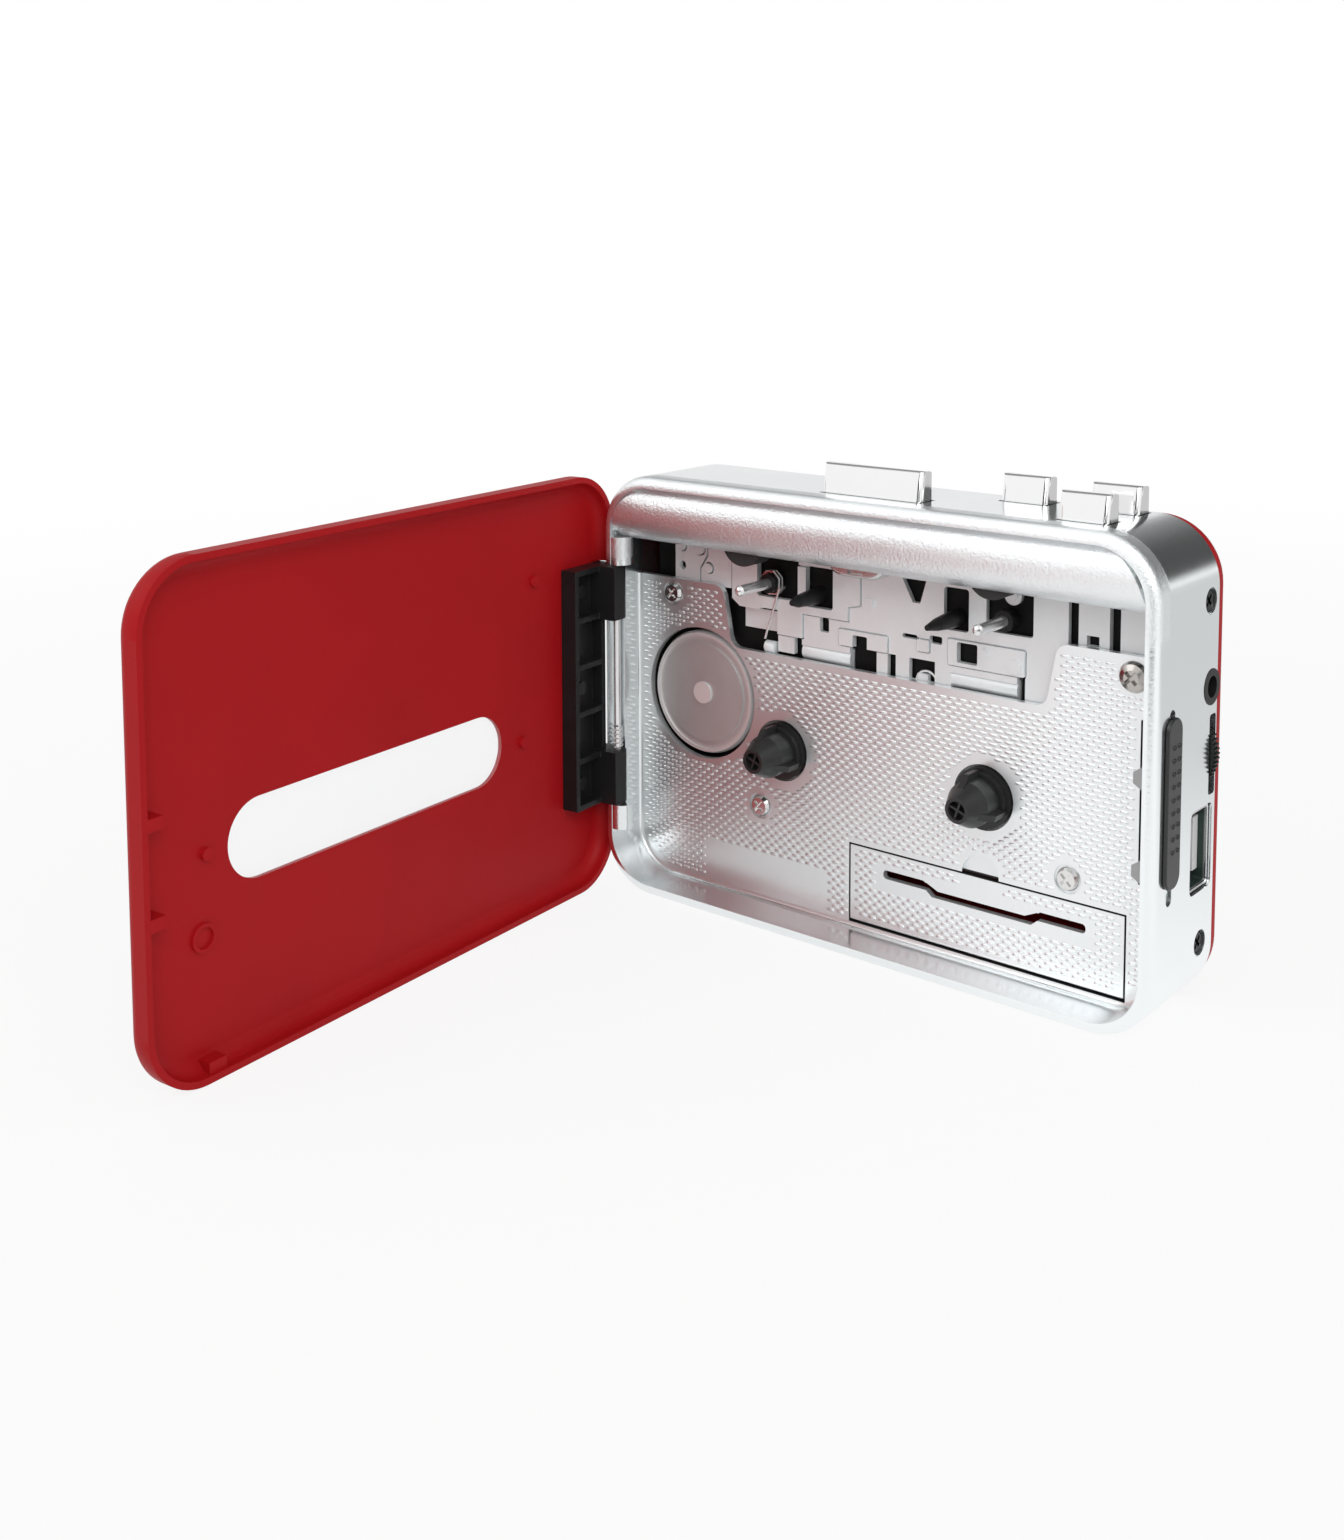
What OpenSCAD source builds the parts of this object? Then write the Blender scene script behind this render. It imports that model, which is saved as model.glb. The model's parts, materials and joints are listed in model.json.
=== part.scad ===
// Portable cassette player that stands on its bottom edge with the cassette door open at its stop.
// +X points right, -Y to the front and +Z up. The origin is the middle of the flat bottom face.
// Depths run backwards from the rim plane, the front of the silver shell. Heights run up from the bottom.

/* [Case] */
// Width of the case
case_w = 114; // [113:0.5:120]
// Height of the case
case_h = 81.5; // [81:0.5:86]
// Depth of the silver shell behind its rim plane
shell_d = 23; // [22.8:0.1:26]
// Depth of the red rear cover
cover_d = 4; // [3.6:0.1:6]
// Wall of the rear cover
cover_wall = 1.8; // [1.2:0.1:1.9]
// Rounding of the rear cover's back edge
cover_fillet = 2; // [1:0.1:3]
// Step from the shell's side down to the rear cover's side
cover_step = 0.4; // [0.2:0.05:0.5]
// Radius of the case corners seen from the front
corner_r = 11; // [8:0.5:14]
// Rounding of the rim's outer edge, which the hinge pin is concentric with
rim_fillet = 2; // [1.8:0.1:2.4]
// Wall of the silver shell
shell_wall = 2.2; // [2.1:0.1:2.6]

/* [Well] */
// Depth of the cassette well
well_d = 8.6; // [8.2:0.1:9]
// Thickness of the panel behind the well
panel_t = 1.3; // [1.1:0.1:1.5]
// Rounding between the panel and the walls of the well
well_fillet = 0.8; // [0.6:0.1:1]
// Height of the panel's left shoulder
shoulder_left_height = 60.9; // [60.5:0.1:62]
// Height of the panel's right shoulder
shoulder_right_height = 60.5; // [60.5:0.5:63]
// Height of the panel's edge under the mechanism window
sill_height = 49.5; // [49:0.1:50]
// Left end of the sill, from the cassette's middle
sill_left = 32.9; // [32.5:0.1:33.2]
// Right end of the sill, from the cassette's middle
sill_right = 32.7; // [32.2:0.1:33]
// Run of the sloped edge beside the left end of the sill
slope_left = 2.2; // [1.8:0.1:3]
// Run of the sloped edge beside the right end of the sill
slope_right = 2; // [1.6:0.1:3]
// Radius of the bends in the panel's edge
sill_bend_r = 2.4; // [1.5:0.1:2.6]
// Radius of the bulged brow over the mechanism window
brow_r = 5.9; // [5.5:0.1:6.4]
// Thickness of the brow
brow_t = 1.4; // [1:0.1:1.8]
// How far the brow stands in front of the rim plane
brow_proud = 0.5; // [0.2:0.1:0.8]
// Width of the groove between the brow and the rim
brow_groove_w = 0.4; // [0.2:0.1:0.8]
// Depth of the groove between the brow and the rim
brow_groove_d = 1; // [0.6:0.1:1.4]

/* [Cassette] */
// Place of the cassette's middle, right of the case's middle
tape_x = 1; // [0:0.5:2]
// Distance between the reel spindles
reel_pitch = 42.5; // [42:0.1:43]
// Height of the reel spindles
reel_height = 31.7; // [31:0.1:33]
// Distance between the capstans
capstan_pitch = 49.2; // [48.6:0.1:49.8]
// Distance between the guide pins
guide_pitch = 29; // [28.6:0.1:29.4]

/* [Drive] */
// Radius of a reel hub's body
hub_r = 3.9; // [3.6:0.1:4.2]
// Radius of a reel hub's flange
hub_flange_r = 5.3; // [5:0.1:5.6]
// Radius over the fins of a reel hub
hub_fin_r = 5; // [4.6:0.1:5.2]
// Radius of the nose of a reel hub
hub_nose_r = 2.2; // [2:0.1:2.6]
// Teeth on a reel gear
reel_teeth = 36; // [24:1:48]
// Radius of a reel shaft
reel_shaft_r = 1.2; // [1:0.1:1.3]
// Radius of a capstan
capstan_r = 1; // [0.9:0.05:1.2]
// Radius of a capstan's bushing
bushing_r = 1.8; // [1.7:0.1:2]
// Radius of a flywheel
flywheel_r = 12; // [11:0.1:12.2]
// Radius of a flywheel's belt pulley
flywheel_pulley_r = 10.5; // [9.5:0.1:10.8]
// Radius of the motor's belt pulley
motor_pulley_r = 3; // [2.5:0.1:3.5]
// Thickness of the drive belt
belt_t = 0.8; // [0.6:0.1:1]
// Width of the drive belt
belt_w = 1.8; // [1.4:0.1:2]
// Radius of the motor
motor_r = 11.9; // [11.5:0.1:12.2]
// Place of the motor's axis, left of the case's middle
motor_left = 39.2; // [38.6:0.1:39.8]
// Height of the motor's axis
motor_height = 39.4; // [39:0.1:40]
// Radius of the boss in the middle of the motor's end
motor_boss_r = 2.1; // [1.8:0.1:2.6]

/* [Mechanism] */
// Thickness of the steel plates
plate_t = 1; // [0.8:0.1:1.2]
// Travel of the head plate towards the tape
head_travel = 2.2; // [1.8:0.1:2.2]
// Radius of a pinch roller
roller_r = 4.6; // [4.2:0.1:4.8]
// Length of a pinch roller
roller_len = 4.5; // [4:0.1:4.6]
// Radius of a pinch roller's pin
roller_pin_r = 0.9; // [0.7:0.1:1.1]
// Width of the tape head
head_w = 13; // [12:0.5:14]
// Height of the tape head
head_h = 7.6; // [7.4:0.1:8]
// Reach of the tape head in front of its plate
head_reach = 6.4; // [5.5:0.1:6.6]
// Radius of a guide pin at its foot
guide_r = 1.5; // [1.4:0.1:1.7]
// Radius of a guide pin at its tip
guide_tip_r = 0.5; // [0.4:0.05:0.6]
// Radius of the wire of the spring round the left bushing
capstan_wire_r = 0.22; // [0.2:0.01:0.24]
// Turns of the spring round the left bushing
capstan_turns = 2; // [1:1:3]

/* [Door] */
// Thickness of the closed door in front of the rim plane
door_t = 5; // [4.6:0.1:5.6]
// Wall of the door
door_wall = 1.6; // [1.4:0.1:1.8]
// Thickness of the door's lip
door_lip = 1.1; // [1:0.1:1.4]
// Radius of the hollow round the door's inner floor
door_cove = 2.4; // [2:0.1:2.6]
// Rounding of the door's outer edge
door_fillet = 2.2; // [1.6:0.1:2.6]
// Gap between the door's lip and the rim plane, and below the door
door_gap = 0.2; // [0.15:0.05:0.3]
// Angle of the door at its open stop
open_angle = 85; // [75:1:90]
// Length of the window
window_w = 65; // [50:1:70]
// Height of the window
window_h = 13; // [10:0.5:16]
// Place of the window's middle, right of the case's middle
window_place = 6; // [0:0.5:8]
// Height of the window's middle
window_height = 34; // [30:0.5:38]
// Width of the ledge that the window pane is seated on
window_ledge = 1.2; // [0.8:0.1:1.6]

/* [Hinge] */
// Radius of the hinge pin
pin_r = 0.75; // [0.65:0.05:0.8]
// Lowest point of the hinge bracket
bracket_low = 16.6; // [16:0.1:18]
// Highest point of the hinge bracket
bracket_high = 63.4; // [62:0.1:64]
// Height of each knuckle
knuckle_h = 10.4; // [9:0.1:11]
// Radius of a knuckle's barrel
barrel_r = 1.75; // [1.6:0.05:1.8]
// Reach of a knuckle beyond the pin's axis, into the well
knuckle_reach = 3; // [2.6:0.1:3.2]
// Width of the bracket's plate, from the pin's axis
bracket_w = 10.5; // [10:0.1:12]
// Height of the bracket's ribs
bracket_rib_h = 2.4; // [1.8:0.1:2.6]
// Thickness of the bracket's ribs and plate
bracket_rib_t = 1.1; // [0.9:0.1:1.3]
// Radius of the hinge spring's wire
spring_wire_r = 0.17; // [0.15:0.01:0.18]
// Turns of the hinge spring
spring_turns = 5; // [3:1:6]
// Rise of the hinge spring for each turn
spring_pitch = 0.85; // [0.8:0.05:1]

/* [Battery bay] */
// Left end of the battery lid
lid_start = -4.7; // [-8:0.1:0]
// Right end of the battery lid
lid_end = 48.4; // [47:0.1:48.6]
// Highest point of the battery lid
lid_high = 17.4; // [17.2:0.1:17.6]
// Gap round the battery lid
lid_gap = 0.35; // [0.3:0.05:0.5]
// Radius of the lid's hinge pegs
lid_peg_r = 0.4; // [0.35:0.05:0.5]
// Thickness of the bay's roof and end wall
bay_wall = 1; // [0.8:0.1:1.2]
// Thickness of a battery contact
contact_t = 0.5; // [0.3:0.1:0.6]
// Radius of a battery contact's spring wire
contact_wire_r = 0.35; // [0.3:0.05:0.4]

/* [Latch] */
// Depth of the slider's front edge behind the rim plane
slider_d0 = 3.2; // [3:0.1:3.6]
// Width of the slider
slider_w = 5.2; // [4.8:0.1:5.4]
// Lowest point of the slider
slider_low = 25; // [24.6:0.1:25.4]
// Length of the slider
slider_len = 27.5; // [26:0.5:28]
// How far the slider stands out from the case
slider_proud = 0.7; // [0.6:0.1:1]
// Travel of the slider when it is pushed down
latch_travel = 2.2; // [1.6:0.1:2.2]
// Thickness of the latch plate
latch_t = 0.5; // [0.4:0.05:0.6]
// Height of the upper latch hook
hook_upper_height = 43; // [42:0.5:44]
// Height of the lower latch hook
hook_lower_height = 28; // [27:0.5:29]
// Reach of a latch hook into the well
hook_reach = 2.4; // [2:0.1:2.6]

/* [Keys] */
// Height of the wide key above the case
wide_key_h = 5.3; // [4.5:0.1:6]
// Height of the small keys above the case
small_key_h = 4.7; // [4:0.1:5.5]
// Width of the wide key
wide_key_w = 20.4; // [18:0.1:22]
// Width of a small key
small_key_w = 8.8; // [8:0.1:9.6]
// Size of a key from front to back
key_depth = 4.3; // [4:0.1:4.6]
// Travel of a key
key_travel = 2.2; // [1.8:0.1:2.2]
// Depth of the front row of keys
front_row_d = 6; // [5.8:0.1:6.2]

/* [Sockets] */
// Radius of the headphone jack's bore
jack_r = 1.8; // [1.78:0.01:1.85]
// Radius of the headphone jack's ring
jack_ring_r = 3; // [2.7:0.1:3.2]
// Length of the headphone jack's bore
jack_len = 12; // [10:0.5:13]
// Radius of the volume wheel
wheel_r = 8; // [7.6:0.1:8.2]
// How far the volume wheel stands out from the case
wheel_proud = 1; // [0.8:0.1:1.4]
// Height of the volume wheel's axis
wheel_height = 43; // [42.6:0.1:43.4]
// Thickness of the volume wheel
wheel_t = 1.8; // [1.6:0.1:2.2]
// Ridges round the volume wheel
wheel_ridges = 64; // [40:1:80]
// Width of the USB opening
usb_w = 8.2; // [7.8:0.1:8.4]
// Height of the USB opening
usb_h = 14; // [13.6:0.1:14.4]
// Length of the USB socket
usb_len = 14; // [12:0.5:16]
// Thickness of the circuit board
board_t = 1; // [0.8:0.1:1.2]

/* [Screws] */
// Radius of a panel screw's head
screw_head_r = 2; // [1.8:0.1:2.2]
// Radius of a screw's shank
screw_r = 0.9; // [0.8:0.05:1]
// Radius of the large dome screw's head
dome_r = 2.6; // [2.4:0.1:2.8]
// Radius of the recess round a panel screw
screw_recess_r = 2.5; // [2.4:0.1:2.6]

/* [Clearances] */
// Sliding clearance between plates and round the keys
slide_gap = 0.3; // [0.2:0.05:0.35]
// Radial clearance of a turning shaft
run_gap = 0.05; // [0.03:0.01:0.08]
// Clearance between pieces that are fastened together
seat_gap = 0.02; // [0.01:0.01:0.05]

/* [Hidden] */
$fn = 64;

// Places across and up are given for a case 114 wide and 81.5 high, and follow the case
function at_x(x) = x * case_w / 114;
function at_z(z) = z * case_h / 81.5;

// Outer faces and inner faces of the case
rim_y = -(shell_d + cover_d) / 2;
side_x = case_w / 2;
inner_x = side_x - shell_wall;
inner_top = case_h - shell_wall;
inner_r = corner_r - shell_wall;
cover_inner = shell_d + cover_d - cover_wall;

// Stack of layers behind the well
panel_back = well_d + panel_t;
head_front = panel_back + slide_gap;
head_back = head_front + plate_t;
chassis_front = head_back + slide_gap;
chassis_back = chassis_front + plate_t;
flywheel_gap = 1.8;
flywheel_front = chassis_back + flywheel_gap;
pulley_rim = 0.2;
pulley_flange_t = 0.5;
thrust_back = cover_inner - 2;
thrust_front = thrust_back - plate_t;
belt_back = thrust_front - 2 * pulley_rim;
belt_front = belt_back - belt_w;
flywheel_t = belt_front - 0.4 - flywheel_front;
mechanism_top = inner_top - 4;

// Heights and places that follow the case
shoulder_left_z = at_z(shoulder_left_height);
shoulder_right_z = at_z(shoulder_right_height);
sill_z = at_z(sill_height);
reel_z = at_z(reel_height);
capstan_z = at_z(62.7);
guide_z = capstan_z - 1.2;
motor_z = at_z(motor_height);
window_z = at_z(window_height);
bracket_z0 = at_z(bracket_low);
bracket_z1 = at_z(bracket_high);
slider_z0 = at_z(slider_low);
hook_upper_z = at_z(hook_upper_height);
hook_lower_z = at_z(hook_lower_height);
wheel_z = at_z(wheel_height);
jack_half = 3.2;
jack_z = wheel_z + wheel_r + jack_half + 0.1;
usb_z = wheel_z - wheel_r - usb_h / 2;
lid_top = at_z(lid_high);
lid_left = at_x(lid_start);
lid_right = at_x(lid_end);
window_x = at_x(window_place);

// Axes
reel_left_x = tape_x - reel_pitch / 2;
reel_right_x = tape_x + reel_pitch / 2;
capstan_left_x = tape_x - capstan_pitch / 2;
capstan_right_x = tape_x + capstan_pitch / 2;
guide_left_x = tape_x - guide_pitch / 2;
guide_right_x = tape_x + guide_pitch / 2;
motor_x = -at_x(motor_left);
motor_can_r = motor_r * min(1, case_w / 114);
motor_to_reel = norm([motor_x - reel_left_x, motor_z - reel_z]);
reel_gear_r = motor_to_reel - motor_can_r - 0.45;
hinge_x = -side_x + rim_fillet;
hinge_d = rim_fillet;

// Brow over the mechanism window
brow_d = brow_r - brow_proud;
brow_z = inner_top - 4.9;
brow_back = 3;

// Battery lid and bay
lid_z0 = shell_wall + well_fillet + lid_gap;
lid_bead_r = panel_t / 2;
lid_axis_z = lid_z0 + lid_bead_r;
lid_axis_d = well_d + lid_bead_r;
lid_peg_len = 1;
bay_top = lid_top + lid_gap;
bay_right = lid_right + lid_gap + 0.7;
bay_left = -side_x + corner_r - 1.5;

// Latch in the right wall: an inner skin, a pocket for the plate and an outer skin
latch_skin = 0.6;
latch_pocket0 = inner_x + latch_skin;
latch_pocket1 = side_x - latch_skin;
latch_x = latch_pocket1 - (latch_pocket1 - latch_pocket0 - latch_t) / 2;
hook_d = 2;
hook_t = 0.6;
hook_neck_h = 1.2;
hook_head_h = 3.6;
slider_gap = 0.15;
side_screw_sink = 1.2;
track_w = 2;
track_d = slider_d0 + slider_w / 2;

// Keys
key_flange = 0.8;
wide_key_x = at_x(0.5);
forward_key_x = at_x(24.3);
corner_key_x = at_x(41);
rear_row_d = shell_d - 5.8;

// Controls on the right side
wheel_x = side_x + wheel_proud - wheel_r;
board_back = cover_inner - 0.2;
board_front = board_back - board_t;
jack_d = board_front - 3.2;
usb_d = board_front - 6.1;
wheel_d0 = jack_d - 0.2;

// Screws through the panel: place across, height
panel_screw_at = [[at_x(-46.2), shoulder_left_z - 2.9], [at_x(-25.1), at_z(20.2)], [at_x(38.2), at_z(21.2)]];
post_r = 1.7;
dome_at = [at_x(49.4), shoulder_right_z - 3.3];
// Screws in the right side: depth, height
side_screw_at = [[shell_d - 3.2, at_z(68.6)], [shell_d - 4.7, at_z(12.2)]];

// Frames of reference
module in_case() translate([0, rim_y, 0]) children();
module facing_right() translate([side_x, 0, 0]) rotate([0, 0, 90]) children();
module door_pose() {
    translate([hinge_x, hinge_d, 0]) rotate([0, 0, -open_angle]) translate([-hinge_x, -hinge_d, 0])
        children();
}

// Flat outline in X and Z given a thickness from depth d0 to depth d1
module layer(d0, d1) translate([0, d1, 0]) rotate([90, 0, 0]) linear_extrude(d1 - d0) children();

// Round bar and cone along the depth
module rod(x, z, r, d0, d1) translate([x, d0, z]) rotate([-90, 0, 0]) cylinder(r = r, h = d1 - d0);
module taper(x, z, r0, r1, d0, d1) {
    translate([x, d0, z]) rotate([-90, 0, 0]) cylinder(r1 = r0, r2 = r1, h = d1 - d0);
}

module block(x0, x1, d0, d1, z0, z1) translate([x0, d0, z0]) cube([x1 - x0, d1 - d0, z1 - z0]);

module rounded_rect(x0, x1, z0, z1, r) {
    translate([x0 + r, z0]) square([x1 - x0 - 2 * r, z1 - z0]);
    translate([x0, z0 + r]) square([x1 - x0, z1 - z0 - 2 * r]);
    for (x = [x0 + r, x1 - r], z = [z0 + r, z1 - r]) translate([x, z]) circle(r);
}

// Rounded slab whose edge at depth 0 is rounded by f
module soft_block(x0, x1, z0, z1, r, f, depth) {
    layer(f, depth) rounded_rect(x0, x1, z0, z1, r);
    layer(0, f) rounded_rect(x0 + f, x1 - f, z0 + f, z1 - f, r - f);
    for (z = [z0 + f, z1 - f])
        translate([x0 + r, f, z]) rotate([0, 90, 0]) cylinder(r = f, h = x1 - x0 - 2 * r);
    for (x = [x0 + f, x1 - f]) translate([x, f, z0 + r]) cylinder(r = f, h = z1 - z0 - 2 * r);
    corners = [[x1 - r, z1 - r], [x0 + r, z1 - r], [x0 + r, z0 + r], [x1 - r, z0 + r]];
    for (i = [0:3]) translate([corners[i][0], f, corners[i][1]])
        rotate([90, 0, 0]) rotate([0, 0, 90 * i]) rotate_extrude(angle = 90) translate([r - f, 0]) circle(f);
}

// The same slab between two depths, with the rounded edge at the first one
module soft_slab(x0, x1, z0, z1, r, f, d0, d1) {
    if (d1 > d0) translate([0, d0, 0]) soft_block(x0, x1, z0, z1, r, f, d1 - d0);
    else translate([0, d0, 0]) mirror([0, 1, 0]) soft_block(x0, x1, z0, z1, r, f, d0 - d1);
}

// Points of an arc of radius r that rounds the corner p between the points a and b
bend_steps = 4;
function bend(a, p, b, r) = let (u = unit(a - p), v = unit(b - p), half = acos(u * v) / 2,
        centre = p + unit(u + v) * r / sin(half), from = p + u * r / tan(half) - centre,
        to = p + v * r / tan(half) - centre, start = atan2(from[1], from[0]),
        sweep = (atan2(to[1], to[0]) - start + 540) % 360 - 180)
    [for (k = [0:bend_steps]) let (w = start + sweep * k / bend_steps) centre + r * [cos(w), sin(w)]];

// Toothed outline: the radius swings between r and r - h, n times round
module toothed(r, h, n) {
    step = 360 / n;
    polygon([for (i = [0:n - 1], k = [[0, 0], [0.3, 0], [0.5, h], [0.8, h]])
        let (a = (i + k[0]) * step) (r - k[1]) * [cos(a), sin(a)]]);
}

// Wire with a six-sided section along points whose run is never parallel to up
function unit(v) = v / norm(v);
module wire(points, r, up) {
    sides = 6;
    last = len(points) - 1;
    rings = [for (i = [0:last])
        let (t = unit(points[min(i + 1, last)] - points[max(i - 1, 0)]),
             a = unit(cross(up, t)), b = cross(t, a))
        for (k = [0:sides - 1]) points[i] + r * (cos(k * 60) * a + sin(k * 60) * b)];
    walls = [for (i = [0:last - 1], k = [0:sides - 1])
        let (p = i * sides + k, q = i * sides + (k + 1) % sides)
        each [[q + sides, q, p], [p + sides, q + sides, p]]];
    caps = [for (k = [1:sides - 2]) each
        [[k, k + 1, 0], [last * sides + k + 1, last * sides + k, last * sides]]];
    polyhedron(rings, concat(walls, caps));
}

// Least gap of a coiled wire to itself, between points at least half a turn apart
rings_per_turn = 8;
function least_gap(points, r) = min([for (i = [0:len(points) - 1])
    for (j = [i + rings_per_turn / 2:1:len(points) - 1]) norm(points[i] - points[j])]) - 2 * r;

// Pan head screw with a cross recess; its head's seat is at depth 0 and its shank runs back
module screw(x, z, head_r, head_h, shank_r, shank_len) {
    slot = head_r * 0.28;
    arm = head_r * 0.62;
    difference() {
        union() {
            taper(x, z, head_r * 0.8, head_r, -head_h, -head_h * 0.4);
            rod(x, z, head_r, -head_h * 0.4, 0);
            rod(x, z, shank_r, -head_h * 0.4, shank_len);
        }
        for (turn = [45, 135]) translate([x, -head_h, z]) rotate([0, turn, 0])
            cube([2 * arm, head_h, slot], center = true);
    }
}

// Case: the space of the well, and the outline of the mechanism window above the panel
module well_space() {
    soft_slab(-inner_x, inner_x, shell_wall, inner_top, inner_r, well_fillet, well_d, -brow_r);
}
module well_outline(inset) {
    rounded_rect(-inner_x + inset, inner_x - inset, shell_wall + inset, inner_top - inset, inner_r - inset);
}
module mechanism_window() {
    sill0 = tape_x - sill_left;
    sill1 = tape_x + sill_right;
    low = [[sill0 - slope_left, shoulder_left_z], [sill0, sill_z], [sill1, sill_z],
        [sill1 + slope_right, shoulder_right_z]];
    ends = concat([[-side_x, shoulder_left_z]], low, [[side_x, shoulder_right_z]]);
    intersection() {
        well_outline(0);
        polygon(concat([ends[0]], [for (i = [1:4]) each bend(ends[i - 1], ends[i], ends[i + 1], sill_bend_r)],
            [ends[5], [side_x, case_h], [-side_x, case_h]]));
    }
}

module brow() {
    intersection() {
        difference() {
            translate([0, brow_d, brow_z]) rotate([0, 90, 0]) cylinder(r = brow_r, h = case_w, center = true);
            translate([0, brow_d, brow_z]) rotate([0, 90, 0])
                cylinder(r = brow_r - brow_t, h = case_w + 2, center = true);
        }
        union() {
            layer(-2 * brow_proud, brow_back) well_outline(brow_groove_w);
            layer(brow_groove_d, brow_back)
                rounded_rect(-side_x + 1, side_x - 1, shell_wall, case_h - 1, inner_r);
        }
    }
}

// Posts that carry the hinge pin above and below the bracket
hinge_post_r = 2.4;
hinge_post_h = 5.4;
module hinge_posts() {
    for (z = [bracket_z1 + slide_gap, bracket_z0 - slide_gap - hinge_post_h])
        translate([hinge_x + 0.8, hinge_d + 0.4, z]) cylinder(r = hinge_post_r, h = hinge_post_h);
}

// Room that the door's knuckles sweep through, and the slot behind the pin between them
module hinge_room() {
    deep = hinge_d + barrel_r + slide_gap;
    low = bracket_z0 - slide_gap;
    high = bracket_z1 + slide_gap;
    step = knuckle_h + slide_gap;
    block(-side_x - 1, hinge_x + knuckle_reach, -1, deep, low, bracket_z0 + step);
    block(-side_x - 1, hinge_x + knuckle_reach, -1, deep, bracket_z1 - step, high);
    block(-side_x + 0.6, hinge_x + knuckle_reach, -1, deep, low, high);
}

// Cuts in the right wall for the latch, the wheel, the jack, the socket and the side screws
module right_wall_cuts() {
    z0 = slider_z0 - latch_travel - 0.7;
    z1 = slider_z0 + slider_len + 1.2;
    block(latch_pocket0, latch_pocket1, hook_d - slide_gap, track_d + 2.4, z0, z1);
    block(inner_x - 1, latch_pocket0 + 0.1, hook_d - slide_gap, hook_d + hook_t + slide_gap, z0, z1);
    facing_right() {
        layer(-1, latch_skin + 0.1)
            rounded_rect(track_d - track_w / 2, track_d + track_w / 2, z0, z1, track_w / 2 - 0.01);
        layer(-1, shell_wall + 1) rounded_rect(wheel_d0 - slide_gap, wheel_d0 + wheel_t + slide_gap,
            wheel_z - 6.7, wheel_z + 6.7, 0.6);
        rod(jack_d, jack_z, jack_ring_r + seat_gap, -1, shell_wall + 1);
        layer(-1, shell_wall + 1) rounded_rect(usb_d - usb_w / 2, usb_d + usb_w / 2,
            usb_z - usb_h / 2, usb_z + usb_h / 2, 1.2);
        for (s = side_screw_at) {
            rod(s[0], s[1], screw_r + 0.1, -1, shell_wall + 1);
            rod(s[0], s[1], screw_head_r + 0.2, -1, side_screw_sink);
        }
    }
    block(inner_x - 1, side_x - 0.8, wheel_d0 - slide_gap, wheel_d0 + wheel_t + slide_gap,
        wheel_z - wheel_r + 0.4, wheel_z + wheel_r - 0.4);
}

module key_hole(x, d, w) {
    block(x - w / 2 - slide_gap, x + w / 2 + slide_gap, d - slide_gap, d + key_depth + slide_gap,
        inner_top - 1, case_h + 1);
}

thumb_r = 3.6;
lid_boss_w = 1.4;
module panel_cuts() {
    layer(well_d - well_fillet, panel_back + 1) mechanism_window();
    rod(motor_x, motor_z, motor_can_r + 0.8, well_d - 1, panel_back + 1);
    for (x = [reel_left_x, reel_right_x]) rod(x, reel_z, hub_flange_r + 0.45, well_d - 1, panel_back + 1);
    for (s = panel_screw_at) {
        rod(s[0], s[1], screw_r + 0.1, well_d - 1, panel_back + 1);
        rod(s[0], s[1], screw_recess_r, well_d - 1, well_d + 0.5);
    }
    rod(dome_at[0], dome_at[1], screw_r + seat_gap, well_d - 1, panel_back + 4);
    block(lid_left - lid_gap, lid_right + lid_gap, well_d - 1, panel_back + 1.2, lid_z0 - lid_gap, bay_top);
    rod((lid_left + lid_right) / 2, bay_top, thumb_r, well_d - 1, well_d + 0.7);
    for (x = [lid_left - lid_gap, lid_right + lid_gap]) translate([x, lid_axis_d, lid_axis_z])
        rotate([0, 90, 0]) cylinder(r = lid_peg_r + run_gap, h = 2 * lid_peg_len + 0.3, center = true);
}

module lid_bosses() {
    for (x = [lid_left - lid_gap - lid_boss_w, lid_right + lid_gap])
        block(x, x + lid_boss_w, well_d + 0.1, lid_axis_d + 1.3, lid_z0 - lid_gap, lid_axis_z + 1.3);
}

// The shell is a frame of walls with the brow, in four pieces that meet without a gap
wall_cut_low = corner_r + 0.5;
wall_cut_high = brow_z - brow_r - 0.1;
panel_lip = 0.2;
module shell_walls() difference() {
    soft_slab(-side_x, side_x, 0, case_h, corner_r, rim_fillet, 0, shell_d);
    well_space();
    layer(well_d - panel_lip, shell_d + 1) rounded_rect(-inner_x, inner_x, shell_wall, inner_top, inner_r);
}

// Section of a straight side wall, across and deep: rounded at the rim, with a fillet at the panel
module side_wall() linear_extrude(case_h) {
    intersection() {
        union() {
            translate([-side_x, rim_fillet]) square([2 * rim_fillet, shell_d - rim_fillet]);
            translate([-side_x + rim_fillet, 0]) square([rim_fillet, shell_d]);
            translate([-side_x + rim_fillet, rim_fillet]) circle(rim_fillet);
        }
        translate([-side_x, 0]) square([shell_wall, shell_d]);
    }
    translate([-inner_x - 0.1, well_d - well_fillet]) difference() {
        square([well_fillet + 0.1, well_fillet - panel_lip]);
        translate([well_fillet + 0.1, 0]) circle(well_fillet);
    }
}
module hinge_pin_hole()
    translate([hinge_x, hinge_d, bracket_z0 - hinge_post_h]) cylinder(r = pin_r + seat_gap, h = bracket_z1);
module window_cut() layer(well_d - well_fillet, panel_back + 1) mechanism_window();
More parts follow.
